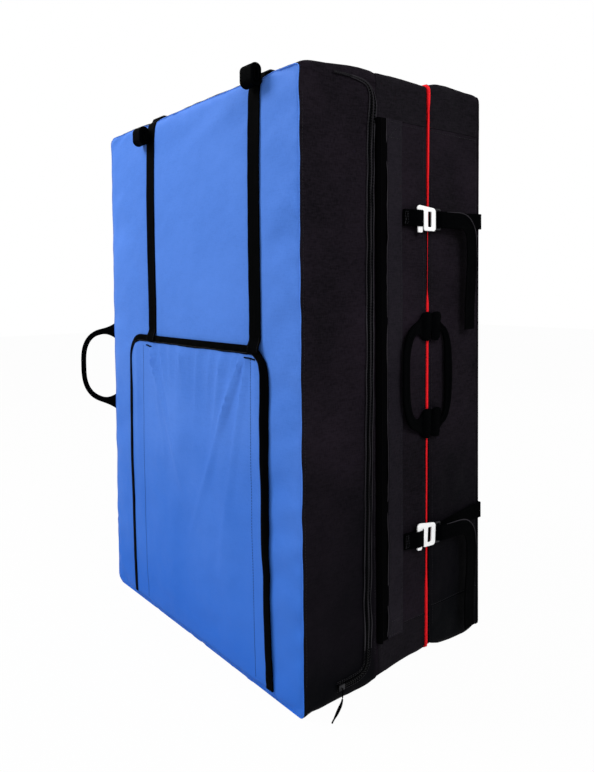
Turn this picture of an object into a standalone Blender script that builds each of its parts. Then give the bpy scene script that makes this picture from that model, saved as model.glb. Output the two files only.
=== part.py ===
"""A tri-fold bouldering crash pad, folded and standing on one end.

Frame: +X is the pad's right side, -Y its blue front, +Z up. The origin lies in the middle of the folded
pad's footprint, on the floor. Three slabs are stacked from front to back. The front slab folds out on the
right, the rear slab on the left.
"""
import math

import bmesh
import bpy
from mathutils import Vector

# Slabs
PAD_WIDTH = 0.660
PAD_HEIGHT = 1.000
FRONT_DEPTH = 0.162
MIDDLE_DEPTH = 0.121
REAR_DEPTH = 0.137
FRONT_GAP = 0.0020
LANDING_GAP = 0.0100
CORNER_RADIUS = 0.022
SKIN = 0.0012
CLEARANCE = 0.0003
FRONT_CROWN = 0.0060
LANDING_CROWN = 0.0025
BACK_CROWN = 0.0050
CLOSED_FOAM = 0.020
END_CAP_DROP = 0.067

# Webbing and small fabric
STRAP_WIDTH = 0.0315
STRAP_THICKNESS = 0.0018
WEB_WIDTH = 0.028
WEB_THICKNESS = 0.0015
TAPE_THICKNESS = 0.0010
STRAP_REACH_NEAR = 0.1075
STRAP_REACH_FAR = 0.462

# Flat buckles on the front slab's top: side rails, slots and bars
BUCKLE_COLUMNS = (0.0040, 0.0060, 0.0040, 0.0060, 0.0040)
BUCKLE_ROWS = (0.0030, 0.0380, 0.0030)
BUCKLE_THICKNESS = 0.0030
BUCKLE_EDGE = 0.0140
# Where the strap leaves the cloth and where it is level with the buckle, before the buckle's edge
STRAP_RISE_SHARES = (0.33, 0.8)
# Where the strap's end dips, in the first slot
STRAP_DIP_SHARES = (0.3, 0.6)

# Rolled strap tails
ROLL_TURNS = 4
ROLL_STEPS = 6
ROLL_PITCH = 0.0023
ROLL_STRETCH = 0.0138
ROLL_CORE = 0.0018
NEAR_ROLL_SINK = 0.0065
FAR_ROLL_SINK = 0.0340
NEAR_ROLL_SHIFT = 0.006
FAR_ROLL_SHIFT = -0.020

# Load flap
FLAP_HEIGHT = 0.565
FLAP_HEM = 0.010
FLAP_WIDTH = 0.488
FLAP_CENTRE = 0.014
FLAP_THICKNESS = 0.0014
FLAP_CORNER = 0.048
FLAP_RIPPLE = 0.0025
FLAP_CORNER_SHARES = (1, 0.6, 0.3, 0.1, 0)
FLAP_COLUMN_SHARES = (-1, -0.93, -0.78, -0.6, -0.42, -0.24, -0.06, 0.12, 0.3, 0.48, 0.66, 0.82, 0.93, 1)
FLAP_RIPPLE_SHARES = (0, 0, 0.5, 0.1, 0.8, 0.2, 0.6, 0, 0.7, 0.2, 1, 0.3, 0, 0)
BINDING_WIDTH = 0.013
BINDING_THICKNESS = 0.0012
BINDING_STEPS = 5
# How soon the flap's ripples grow from its hem and from its top, as shares of its height
RIPPLE_GROW_SHARES = (0.33, 0.5)

# Fold hinges
RIGHT_HINGE_REACH = 0.0100
LEFT_HINGE_REACH = 0.0045
HINGE_LEAF = 0.0010
HINGE_LAP = 0.0045
HINGE_END = 0.0006
RIGHT_HINGE_PLAY = 0.0006
LEFT_HINGE_PLAY = 0.0003

# Zip of the front slab
ZIP_TAPE = 0.020
ZIP_CHAIN = 0.0050
ZIP_CHAIN_HEIGHT = 0.0012
ZIP_INSET = 0.016
ZIP_LEG = 0.092
ZIP_LEG_HEIGHT = 0.024
ZIP_CORNER = 0.026
ZIP_STEPS = 4
SLIDER_LENGTH = 0.012
SLIDER_WALL = 0.0016
PULLER_STEM = 0.0020
PULLER_WIDTH = 0.0080
PULLER_THICKNESS = 0.0026
PULLER_OUT = 0.0085
PULLER_FORWARD = 0.058
PULLER_DROP = 0.018

# Closure of the middle slab
FASTENER_EDGE = 0.0055
FASTENER_WIDTH = 0.0175
CLOSURE_FLAP_WIDTH = 0.036
CLOSURE_FLAP_LIFT = 0.0030
CLOSURE_WAVES = 5
WAVE_STEPS = 4

# Metal hooks. Columns: front bar, mouth, middle bar, slot, rear bar, strap slot, strap bar
HOOK_COLUMNS = (0.010, 0.008, 0.011, 0.0095, 0.0105, 0.0075, 0.003)
HOOK_ROWS = (0.0055, 0.0045, 0.0290, 0.0040, 0.0050)
HOOK_PLATE = 0.0030
HOOK_STAND = 0.0080
HOOK_PIVOT_DEPTH = 0.3105
CATCH_START = 0.224
WRAP_STEPS = 6

# Straps round the rear slab and through the hooks
REAR_STRAP_ANCHOR = 0.060
CORNER_LOOP = 0.0048
CORNER_LOOP_RUN = 0.030
SLOPE_SHARE = 0.8
CORNER_LOOP_SHARES = ((-0.2, 0.85), (0.6, 0.95), (1, 0.45), (0.95, -0.6))
TAIL_REACH = 0.388
TAIL_BOW = 0.0030
TAIL_STEPS = 5
# Each step of the tail's turn: along, outwards, down, and the web's turn in degrees
TAIL_SHARES = ((0.3, 0.5, 0, 0), (0.6, 1, 0, 0), (0.8, 1, 0.054, 30), (0.946, 1, 0.2, 60), (1, 1, 0.4, 90))
UPPER_HOOK_DROP = 0.2235
LOWER_HOOK_HEIGHT = 0.2215
UPPER_STRAP_RISE = 0.0035
LOWER_STRAP_RISE = 0.0130
UPPER_TAIL = 0.1955
LOWER_TAIL = 0.1955

# Handles
LEFT_HANDLE_WEB = 0.038
SIDE_HANDLE_WEB = 0.046
LEFT_HANDLE_GRIP = 0.013
MIDDLE_HANDLE_GRIP = 0.020
REAR_HANDLE_GRIP = 0.018
HANDLE_THICKNESS = 0.0040
HANDLE_END_THICKNESS = 0.0016
HANDLE_ROOT = 0.0011
HANDLE_STRAIGHT = 0.0060
HANDLE_STEPS = 12
HANDLE_TAPER = 2.2
HANDLE_SQUARENESS = 0.68
LEFT_HANDLE_TOP = 0.566
LEFT_HANDLE_SPAN = 0.160
LEFT_HANDLE_REACH = 0.096
LEFT_HANDLE_EDGE = 0.010
SIDE_HANDLE_TOP = 0.5885
SIDE_HANDLE_SPAN = 0.170
MIDDLE_HANDLE_REACH = 0.057
MIDDLE_HANDLE_EDGE = 0.0060
REAR_HANDLE_REACH = 0.0338
REAR_HANDLE_EDGE = 0.0090

# Carrying harness on the back
SHOULDER_WIDTH = 0.070
SHOULDER_THICKNESS = 0.014
SHOULDER_DROP = 0.200
SHOULDER_LENGTH = 0.370
SHOULDER_SPREAD = 0.085
SHOULDER_SWAY = 0.020
SHOULDER_STEPS = 8
SHOULDER_END_SHARE = 0.68
SHOULDER_CREST_SHARE = 0.6
SHOULDER_EDGE_SHARE = 0.33
LOWER_WEB_END = 0.230
LOWER_WEB_SPREAD = 0.215
YOKE_WIDTH = 0.300
YOKE_HEIGHT = 0.080
YOKE_THICKNESS = 0.0020
YOKE_GAP = 0.0070

HALF_WIDTH = PAD_WIDTH / 2
MIDDLE_HEIGHT = PAD_HEIGHT / 2
TOTAL_DEPTH = FRONT_DEPTH + FRONT_GAP + MIDDLE_DEPTH + LANDING_GAP + REAR_DEPTH
FRONT_Y = -TOTAL_DEPTH / 2
FRONT_BACK_Y = FRONT_Y + FRONT_DEPTH
MIDDLE_Y = FRONT_BACK_Y + FRONT_GAP
MIDDLE_BACK_Y = MIDDLE_Y + MIDDLE_DEPTH
REAR_Y = MIDDLE_BACK_Y + LANDING_GAP
REAR_BACK_Y = REAR_Y + REAR_DEPTH
RIGHT_HINGE = Vector((HALF_WIDTH + RIGHT_HINGE_REACH, (FRONT_BACK_Y + MIDDLE_Y) / 2, 0))
LEFT_HINGE = Vector((-HALF_WIDTH - LEFT_HINGE_REACH, (MIDDLE_BACK_Y + REAR_Y) / 2, 0))
SHOULDER_TOP = PAD_HEIGHT - SHOULDER_DROP
SHOULDER_BOTTOM = SHOULDER_TOP - SHOULDER_LENGTH
# Name, height, rise towards the rear edge, length of the tail below the hook's middle
HOOKS = (
    ("upper", PAD_HEIGHT - UPPER_HOOK_DROP, UPPER_STRAP_RISE, UPPER_TAIL),
    ("lower", LOWER_HOOK_HEIGHT, LOWER_STRAP_RISE, LOWER_TAIL),
)
LEFT_ROOT = (-HALF_WIDTH - HANDLE_ROOT, FRONT_Y + LEFT_HANDLE_EDGE)
MIDDLE_ROOT = (HALF_WIDTH + HANDLE_ROOT, MIDDLE_BACK_Y - MIDDLE_HANDLE_EDGE)
REAR_ROOT = (HALF_WIDTH + HANDLE_ROOT, REAR_Y + REAR_HANDLE_EDGE)
# Name, root, direction in degrees from +X, upper root's height and the span down to the lower one, reach,
# and the webbing's width at the roots and at the grip
HANDLES = (
    ("left", LEFT_ROOT, 212, (LEFT_HANDLE_TOP, LEFT_HANDLE_SPAN), LEFT_HANDLE_REACH, (LEFT_HANDLE_WEB, LEFT_HANDLE_GRIP)),
    ("middle", MIDDLE_ROOT, -82, (SIDE_HANDLE_TOP, SIDE_HANDLE_SPAN), MIDDLE_HANDLE_REACH, (SIDE_HANDLE_WEB, MIDDLE_HANDLE_GRIP)),
    ("rear", REAR_ROOT, 82, (SIDE_HANDLE_TOP, SIDE_HANDLE_SPAN), REAR_HANDLE_REACH, (SIDE_HANDLE_WEB, REAR_HANDLE_GRIP)),
)

# A slab's surface is drawn on outlines shrunk about its middle, and crowned by these shares
RING_SHARES = (1, 0.86, 0.5)
CROWN_SHARES = (0, 0.55, 0.92)
CORNER_STEPS = 3
SIDE_STEPS = 3

X = Vector((1, 0, 0))
Y = Vector((0, 1, 0))
Z = Vector((0, 0, 1))


def material(name, colour, roughness, metallic=0):
    made = bpy.data.materials.new(name)
    made.use_nodes = True
    shader = made.node_tree.nodes["Principled BSDF"]
    shader.inputs["Base Color"].default_value = (*colour, 1)
    shader.inputs["Roughness"].default_value = roughness
    shader.inputs["Metallic"].default_value = metallic
    made.diffuse_color = (*colour, 1)
    return made


def add(name, corners, faces, finish, origin=None):
    """An object from corners in world space, with its faces turned out and its origin where asked."""
    origin = Vector(origin or (0, 0, 0))
    mesh = bpy.data.meshes.new(name)
    mesh.from_pydata([Vector(corner) - origin for corner in corners], [], faces)
    edit = bmesh.new()
    edit.from_mesh(mesh)
    bmesh.ops.recalc_face_normals(edit, faces=edit.faces)
    edit.to_mesh(mesh)
    edit.free()
    mesh.shade_smooth()
    mesh.set_sharp_from_angle(angle=math.radians(35))
    mesh.materials.append(finish)
    made = bpy.data.objects.new(name, mesh)
    made.location = origin
    bpy.context.scene.collection.objects.link(made)
    return made


def arc(centre, radius, start, end, steps):
    """Points on an arc, with angles in degrees."""
    points = []
    for i in range(steps + 1):
        angle = math.radians(start + (end - start) * i / steps)
        points.append((centre[0] + radius * math.cos(angle), centre[1] + radius * math.sin(angle)))
    return points


def slab_outline(inset=0):
    """The slab's outline in X and Z, anticlockwise from the bottom right corner, moved in by inset."""
    reach = HALF_WIDTH - inset
    rise = MIDDLE_HEIGHT - inset
    radius = CORNER_RADIUS - inset
    points = []
    for quarter, (side, end) in enumerate(((1, -1), (1, 1), (-1, 1), (-1, -1))):
        centre = (side * (reach - radius), MIDDLE_HEIGHT + end * (rise - radius))
        corner = arc(centre, radius, 90 * quarter - 90, 90 * quarter, CORNER_STEPS)
        if points:
            points += between(points[-1], corner[0], SIDE_STEPS)
        points += corner
    return points + between(points[-1], points[0], SIDE_STEPS)


def between(start, end, steps):
    """Points inside the straight run from start to end."""
    start = Vector(start)
    end = Vector(end)
    return [tuple(start.lerp(end, i / (steps + 1))) for i in range(1, steps + 1)]


def crown_at(x, z, height):
    """How far a crowned sheet stands out at a place, as its flat facets do."""
    share = max(abs(x) / HALF_WIDTH, abs(z - MIDDLE_HEIGHT) / MIDDLE_HEIGHT, 0)
    rings = list(zip(RING_SHARES, CROWN_SHARES)) + [(0, 1)]
    for (outer, low), (inner, high) in zip(rings, rings[1:]):
        if share >= inner:
            return height * (low + (high - low) * (outer - share) / (outer - inner))
    return height


def layer(name, y_low, y_high, crown_low, crown_high, inset, finish):
    """A sheet or slab of foam across the pad. Its front swells by crown_low, its back by crown_high."""
    outline = slab_outline(inset)
    count = len(outline)
    corners = []
    faces = []
    for y, crown in ((y_low, -crown_low), (y_high, crown_high)):
        for ring, rise in zip(RING_SHARES, CROWN_SHARES):
            for x, z in outline:
                corners.append((x * ring, y + crown * rise, MIDDLE_HEIGHT + (z - MIDDLE_HEIGHT) * ring))
        corners.append((0, y + crown, MIDDLE_HEIGHT))
    side = len(RING_SHARES) * count + 1
    for base in (0, side):
        for ring in range(len(RING_SHARES) - 1):
            for i in range(count):
                a = base + ring * count + i
                b = base + ring * count + (i + 1) % count
                faces.append((a, b, b + count, a + count))
        inner = base + (len(RING_SHARES) - 1) * count
        for i in range(count):
            faces.append((inner + i, inner + (i + 1) % count, base + side - 1))
    for i in range(count):
        faces.append((i, (i + 1) % count, side + (i + 1) % count, side + i))
    return add(name, corners, faces, finish)


def tangents(points, closed):
    """The direction of travel at each point of a path."""
    count = len(points)
    found = []
    for i in range(count):
        before = points[(i - 1) % count] if closed or i else points[0]
        after = points[(i + 1) % count] if closed or i < count - 1 else points[-1]
        found.append((after - before).normalized())
    return found


def sweep(name, points, across, profiles, finish, closed=False, origin=None):
    """Carries a profile along a path. Its points are (along the width, along the path's normal)."""
    points = [Vector(point) for point in points]
    widths = across if isinstance(across, list) else [across] * len(points)
    if not isinstance(profiles[0], list):
        profiles = [profiles] * len(points)
    corners = []
    for i, forward in enumerate(tangents(points, closed)):
        wide = Vector(widths[i])
        wide = (wide - forward * wide.dot(forward)).normalized()
        out = wide.cross(forward).normalized()
        leg = (points[(i + 1) % len(points)] - points[i]).normalized()
        inside = closed or 0 < i < len(points) - 1
        mitre = 1 / max(leg.dot(forward), 0.5) if inside else 1
        corners += [points[i] + wide * u + out * v * mitre for u, v in profiles[i]]
    size = len(profiles[0])
    faces = []
    for i in range(len(points) if closed else len(points) - 1):
        here = i * size
        there = (i + 1) % len(points) * size
        for j in range(size):
            k = (j + 1) % size
            faces.append((here + j, here + k, there + k, there + j))
    if not closed:
        faces.append(tuple(range(size)))
        faces.append(tuple(range(len(corners) - size, len(corners))))
    return add(name, corners, faces, finish, origin)


def flat(width, thickness):
    """The profile of a flat strip."""
    side = width / 2
    face = thickness / 2
    return [(-side, -face), (side, -face), (side, face), (-side, face)]


def oval(width, thickness):
    """The profile of a rounded strip or cord."""
    return [(x * width / 2, y * thickness / 2) for x, y in arc((0, 0), 1, 22.5, 337.5, 7)]


def plate(name, corner, along, up, out, columns, rows, pattern, thickness, finish, origin=None):
    """A plate of cells. Pattern rows run upwards, and # marks a filled cell. Corner is its low corner."""
    corner = Vector(corner)
    stops = [[sum(sizes[:i]) for i in range(len(sizes) + 1)] for sizes in (columns, rows)]
    corners = []
    for depth in (0, thickness):
        for row in stops[1]:
            for column in stops[0]:
                corners.append(corner + along * column + up * row + out * depth)
    line = len(columns) + 1
    sheet = line * (len(rows) + 1)
    filled = {(c, r) for r, cells in enumerate(pattern) for c, cell in enumerate(cells) if cell == "#"}
    faces = []
    for c, r in filled:
        square = (r * line + c, r * line + c + 1, (r + 1) * line + c + 1, (r + 1) * line + c)
        faces.append(square)
        faces.append(tuple(index + sheet for index in reversed(square)))
        beside = ((c, r - 1), (c + 1, r), (c, r + 1), (c - 1, r))
        for i, neighbour in enumerate(beside):
            if neighbour not in filled:
                a = square[i]
                b = square[(i + 1) % 4]
                faces.append((b, a, a + sheet, b + sheet))
    used = sorted({index for face in faces for index in face})
    place = {index: i for i, index in enumerate(used)}
    kept = [corners[index] for index in used]
    return add(name, kept, [tuple(place[index] for index in face) for face in faces], finish, origin)


# Foam slabs and their covers


def slab_layers(slab, y_low, y_high, crown_low, crown_high, face_cloth, back_cloth, foams):
    """The two cover sheets of a slab and the foam sandwich between them."""
    layer(slab + "_face_sheet", y_low, y_low + SKIN, crown_low, -crown_low, 0, face_cloth)
    layer(slab + "_back_sheet", y_high - SKIN, y_high, -crown_high, crown_high, 0, back_cloth)
    inset = SKIN + CLEARANCE
    low = y_low + inset
    high = y_high - inset
    closed, soft = foams
    layer(slab + "_face_foam", low, low + CLOSED_FOAM, crown_low, -crown_low, inset, closed)
    core = (low + CLOSED_FOAM + CLEARANCE, high - CLOSED_FOAM - CLEARANCE)
    layer(slab + "_core_foam", *core, crown_low, crown_high, inset, soft)
    layer(slab + "_back_foam", high - CLOSED_FOAM, high, -crown_high, crown_high, inset, closed)


def band_span(y_low, y_high):
    """The middle of a side band between two cover sheets, and the band's profile."""
    inset = SKIN + CLEARANCE
    return (y_low + y_high) / 2, flat(y_high - y_low - 2 * inset, SKIN)


def front_band(cloth):
    middle, profile = band_span(FRONT_Y, FRONT_BACK_Y)
    path = [(x, middle, z) for x, z in slab_outline(SKIN / 2)]
    sweep("front_side_band", path, Y, profile, cloth, closed=True)


def panel_covers(slab, y_low, y_high, side_cloth, cap_cloth):
    """The end caps and side panels of the middle or rear slab, which meet at level seams."""
    middle, profile = band_span(y_low, y_high)
    reach = HALF_WIDTH - SKIN / 2
    radius = CORNER_RADIUS - SKIN / 2
    rise = MIDDLE_HEIGHT - SKIN / 2
    seam = MIDDLE_HEIGHT - END_CAP_DROP
    right = arc((reach - radius, rise - radius), radius, 0, 90, CORNER_STEPS)
    left = arc((radius - reach, rise - radius), radius, 90, 180, CORNER_STEPS)
    cap = [(reach, seam)] + right + between(right[-1], left[0], SIDE_STEPS) + left + [(-reach, seam)]
    for end, side in (("top", 1), ("bottom", -1)):
        path = [(x, middle, MIDDLE_HEIGHT + side * z) for x, z in cap]
        sweep(f"{slab}_{end}_cap", path, Y, profile, cap_cloth)
    panel = seam - CLEARANCE
    for hand, side in (("right", 1), ("left", -1)):
        path = [(side * reach, middle, MIDDLE_HEIGHT + share * panel) for share in (-1, 0, 1)]
        sweep(f"{slab}_{hand}_panel", path, Y, profile, side_cloth)


# Zip of the front slab, on its right side


def zip_path():
    """The zip's middle line in Y and Z: along the bottom edge, up the rear edge and along the top edge."""
    start = FRONT_BACK_Y - ZIP_LEG
    rear = FRONT_BACK_Y - ZIP_INSET
    low = ZIP_LEG_HEIGHT
    high = PAD_HEIGHT - ZIP_LEG_HEIGHT
    lower = arc((rear - ZIP_CORNER, low + ZIP_CORNER), ZIP_CORNER, -90, 0, ZIP_STEPS)
    upper = arc((rear - ZIP_CORNER, high - ZIP_CORNER), ZIP_CORNER, 0, 90, ZIP_STEPS)
    return [(start, low)] + lower + between(lower[-1], upper[0], SIDE_STEPS) + upper + [(start, high)]


def zip_parts(tape_cloth, metal, cord):
    x = HALF_WIDTH + CLEARANCE + TAPE_THICKNESS / 2
    points = [Vector((x, y, z)) for y, z in zip_path()]
    across = [forward.cross(X) for forward in tangents(points, False)]
    side = ZIP_TAPE / 2
    face = TAPE_THICKNESS / 2
    chain = ZIP_CHAIN / 2
    crest = face + ZIP_CHAIN_HEIGHT
    profile = [(-side, -face), (side, -face), (side, face), (chain, face)]
    profile += [(chain, crest), (-chain, crest), (-chain, face), (-side, face)]
    sweep("front_zip", points, across, profile, tape_cloth)

    inner = chain + CLEARANCE
    outer = inner + SLIDER_WALL
    foot = face + CLEARANCE
    roof = crest + CLEARANCE
    top = roof + SLIDER_WALL
    profile = [(-outer, foot), (-inner, foot), (-inner, roof), (inner, roof)]
    profile += [(inner, foot), (outer, foot), (outer, top), (-outer, top)]
    start = points[0]
    end = start + Y * SLIDER_LENGTH
    sweep("zip_slider", [start, end], Y.cross(X), profile, metal, origin=start)

    pivot = start + Y * SLIDER_LENGTH / 2 + X * (top + CLEARANCE + PULLER_STEM / 2)
    reach = Vector((PULLER_OUT, -PULLER_FORWARD, -PULLER_DROP))
    path = [pivot, pivot - Y * SLIDER_LENGTH, pivot + reach / 2, pivot + reach]
    stem = oval(PULLER_STEM, PULLER_STEM)
    tab = oval(PULLER_WIDTH, PULLER_THICKNESS)
    sweep("zip_puller", path, Z, [stem, stem, tab, tab], cord, origin=pivot)


# Closure and seams of the middle slab


def middle_closure(hook_cloth, tape_cloth, flap_cloth):
    low = END_CAP_DROP
    high = PAD_HEIGHT - END_CAP_DROP
    face = HALF_WIDTH + CLEARANCE
    y = MIDDLE_Y + FASTENER_EDGE + FASTENER_WIDTH / 2
    x = face + STRAP_THICKNESS / 2
    path = [(x, y, low), (x, y, high)]
    sweep("fastener_strip", path, Y, flat(FASTENER_WIDTH, STRAP_THICKNESS), hook_cloth)

    y += (FASTENER_WIDTH + CLOSURE_FLAP_WIDTH) / 2 + CLEARANCE
    x = face + TAPE_THICKNESS / 2
    path = [(x, y, low), (x, y, high)]
    sweep("middle_zip", path, Y, flat(ZIP_TAPE, TAPE_THICKNESS), tape_cloth)

    x = face + TAPE_THICKNESS + CLEARANCE + FLAP_THICKNESS / 2
    path = []
    for i in range(CLOSURE_WAVES * WAVE_STEPS + 1):
        share = i / (CLOSURE_WAVES * WAVE_STEPS)
        lift = CLOSURE_FLAP_LIFT * (1 - math.cos(2 * math.pi * CLOSURE_WAVES * share)) / 2
        path.append((x + lift, y, low + (high - low) * share))
    sweep("closure_flap", path, Y, flat(CLOSURE_FLAP_WIDTH, FLAP_THICKNESS), flap_cloth)


def hinge_leaves(cloth):
    """Each fabric hinge as two leaves, one on each slab, that meet at the fold's axis."""
    low = END_CAP_DROP
    high = PAD_HEIGHT - END_CAP_DROP
    for name, axis, edge, side, play in (
        ("right_hinge_front_leaf", RIGHT_HINGE, FRONT_BACK_Y, -1, RIGHT_HINGE_PLAY),
        ("right_hinge_middle_leaf", RIGHT_HINGE, MIDDLE_Y, 1, RIGHT_HINGE_PLAY),
        ("left_hinge_middle_leaf", LEFT_HINGE, MIDDLE_BACK_Y, -1, LEFT_HINGE_PLAY),
        ("left_hinge_rear_leaf", LEFT_HINGE, REAR_Y, 1, LEFT_HINGE_PLAY),
    ):
        hand = math.copysign(1, axis.x)
        start = Vector((hand * (HALF_WIDTH + 2 * CLEARANCE + HINGE_LEAF / 2), edge + side * HINGE_LAP, 0))
        end = axis + Vector((-hand * HINGE_END, side * play, 0))
        middle = (start + end) / 2
        profile = flat((end - start).length, HINGE_LEAF)
        sweep(name, [middle + Z * low, middle + Z * high], end - start, profile, cloth)


# Straps, rolls and load flap on the front


def front_strap(name, reach, web):
    x = HALF_WIDTH - reach
    inner = abs(x) - STRAP_WIDTH / 2
    lift = CLEARANCE + STRAP_THICKNESS / 2
    level = MIDDLE_HEIGHT * (1 + inner / HALF_WIDTH)
    breaks = [MIDDLE_HEIGHT * (1 + share) for share in reversed(RING_SHARES[1:])]
    start = FLAP_HEIGHT + CLEARANCE
    heights = [start] + [z for z in (level, *breaks) if z > start and z >= level]
    path = [(x, FRONT_Y - crown_at(inner, z, FRONT_CROWN) - lift, z) for z in heights]
    path += [(x, FRONT_Y + y, PAD_HEIGHT + z) for y, z in arc((0, 0), lift, 180, 90, CORNER_STEPS)]
    over = BUCKLE_THICKNESS + 2 * CLEARANCE + STRAP_THICKNESS / 2
    rail = BUCKLE_EDGE + BUCKLE_COLUMNS[0]
    leave, level_off = STRAP_RISE_SHARES
    dip, end = STRAP_DIP_SHARES
    path.append((x, FRONT_Y + BUCKLE_EDGE * leave, PAD_HEIGHT + lift))
    path.append((x, FRONT_Y + BUCKLE_EDGE * level_off, PAD_HEIGHT + over))
    path.append((x, FRONT_Y + rail + BUCKLE_COLUMNS[1] * dip, PAD_HEIGHT + over))
    path.append((x, FRONT_Y + rail + BUCKLE_COLUMNS[1] * end, PAD_HEIGHT + lift + CLEARANCE))
    sweep("front_strap_" + name, path, X, flat(STRAP_WIDTH, STRAP_THICKNESS), web)


def strap_buckle(name, reach, plastic):
    width = sum(BUCKLE_ROWS)
    corner = (HALF_WIDTH - reach + width / 2, FRONT_Y + BUCKLE_EDGE, PAD_HEIGHT + CLEARANCE)
    pattern = ("#####", "#.#.#", "#####")
    sizes = (BUCKLE_COLUMNS, BUCKLE_ROWS)
    plate("strap_buckle_" + name, corner, Y, -X, Z, *sizes, pattern, BUCKLE_THICKNESS, plastic)


def roll_points():
    """A flattened spiral in Y and Z, wound from the inside out."""
    points = []
    for half in range(2 * ROLL_TURNS):
        side = 1 if half % 2 == 0 else -1
        for i in range(ROLL_STEPS + 1):
            turn = (half + i / ROLL_STEPS) / 2
            radius = ROLL_CORE + ROLL_PITCH * turn
            angle = 2 * math.pi * turn
            points.append((radius * math.cos(angle), radius * math.sin(angle) + side * ROLL_STRETCH / 2))
    return points


def gap_to_self(points, skip):
    """The least distance between stretches of a path that aren't next to each other."""
    least = math.inf
    dense = [Vector(a).lerp(Vector(b), i / 8) for a, b in zip(points, points[1:]) for i in range(8)]
    skip *= 8
    for i, point in enumerate(dense):
        for other in dense[i + skip:]:
            least = min(least, (point - other).length)
    return least


def strap_roll(name, reach, sink, shift, web):
    outer = ROLL_CORE + ROLL_PITCH * ROLL_TURNS + STRAP_THICKNESS / 2
    z = PAD_HEIGHT - sink
    swell = crown_at(0, z - ROLL_STRETCH / 2 - outer, FRONT_CROWN)
    y = FRONT_Y - swell - 2 * CLEARANCE - STRAP_THICKNESS - outer
    path = [(HALF_WIDTH - reach + shift, y + across, z + up) for across, up in roll_points()]
    sweep("strap_roll_" + name, path, X, flat(STRAP_WIDTH, STRAP_THICKNESS), web)


def flap_half_width(z):
    side = FLAP_WIDTH / 2
    above = z - (FLAP_HEIGHT - FLAP_CORNER)
    if above <= 0:
        return side
    return side - FLAP_CORNER + math.sqrt(max(FLAP_CORNER ** 2 - above ** 2, 0))


def flap_rows():
    """The heights of the flap's rows, with one at each break of the crown below it."""
    breaks = [MIDDLE_HEIGHT * (1 - share) for share in RING_SHARES[1:]] + [MIDDLE_HEIGHT]
    breaks = [z for z in breaks if z < FLAP_HEIGHT - FLAP_CORNER]
    corner = [FLAP_HEIGHT - FLAP_CORNER * share for share in FLAP_CORNER_SHARES]
    return sorted([FLAP_HEM] + breaks + corner)


def load_flap(cloth, binding):
    rows = flap_rows()
    corners = []
    for depth in (0, FLAP_THICKNESS):
        for z in rows:
            back = FRONT_Y - crown_at(0, z, FRONT_CROWN) - CLEARANCE
            below, above = RIPPLE_GROW_SHARES
            height_share = min(1, z / FLAP_HEIGHT / below, (FLAP_HEIGHT - z) / FLAP_HEIGHT / above)
            for u, ripple in zip(FLAP_COLUMN_SHARES, FLAP_RIPPLE_SHARES):
                lift = FLAP_RIPPLE * ripple * height_share
                corners.append((FLAP_CENTRE + u * flap_half_width(z), back - depth - lift, z))
    line = len(FLAP_COLUMN_SHARES)
    sheet = line * len(rows)
    faces = []
    rim = []
    for r in range(len(rows) - 1):
        for c in range(line - 1):
            a = r * line + c
            faces.append((a, a + 1, a + line + 1, a + line))
            faces.append((sheet + a, sheet + a + line, sheet + a + line + 1, sheet + a + 1))
    rim += list(range(line))
    rim += [r * line + line - 1 for r in range(1, len(rows))]
    rim += [(len(rows) - 1) * line + c for c in range(line - 2, -1, -1)]
    rim += [r * line for r in range(len(rows) - 2, 0, -1)]
    for a, b in zip(rim, rim[1:] + rim[:1]):
        faces.append((b, a, sheet + a, sheet + b))
    hinge = (FLAP_CENTRE, FRONT_Y - FLAP_THICKNESS / 2 - CLEARANCE, FLAP_HEM)
    add("load_flap", corners, faces, cloth, hinge)

    inset = BINDING_WIDTH / 2
    side = FLAP_WIDTH / 2 - inset
    top = FLAP_HEIGHT - inset
    radius = FLAP_CORNER - inset
    straight = [z for z in rows if z < FLAP_HEIGHT - FLAP_CORNER]
    right = arc((side - radius, top - radius), radius, 0, 90, BINDING_STEPS)
    outline = [(side, z) for z in straight] + right
    outline += [(-x, z) for x, z in reversed(outline)]
    lift = 2 * CLEARANCE + FLAP_THICKNESS + BINDING_THICKNESS / 2
    path = [Vector((FLAP_CENTRE + x, FRONT_Y - crown_at(0, z, FRONT_CROWN) - lift, z)) for x, z in outline]
    across = [forward.cross(Y) for forward in tangents(path, False)]
    sweep("flap_binding", path, across, flat(BINDING_WIDTH, BINDING_THICKNESS), binding)


# Metal hooks, their catch loops and the straps round the rear slab


def hook(name, height, metal):
    """A flat hook. Its front bar ends free at the bottom, and its strap goes round the thin rear bar."""
    width = sum(HOOK_COLUMNS)
    pivot = Vector((HALF_WIDTH + HOOK_STAND, FRONT_Y + HOOK_PIVOT_DEPTH, height))
    low = height - HOOK_ROWS[0] - HOOK_ROWS[1] - HOOK_ROWS[2] / 2
    corner = (pivot.x - HOOK_PLATE / 2, pivot.y + HOOK_COLUMNS[-1] / 2 - width, low)
    pattern = ("#.###..", "#.#####", "#.#.#.#", "#######", "#####..")
    plate("hook_" + name, corner, Y, Z, X, HOOK_COLUMNS, HOOK_ROWS, pattern, HOOK_PLATE, metal, pivot)


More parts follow.
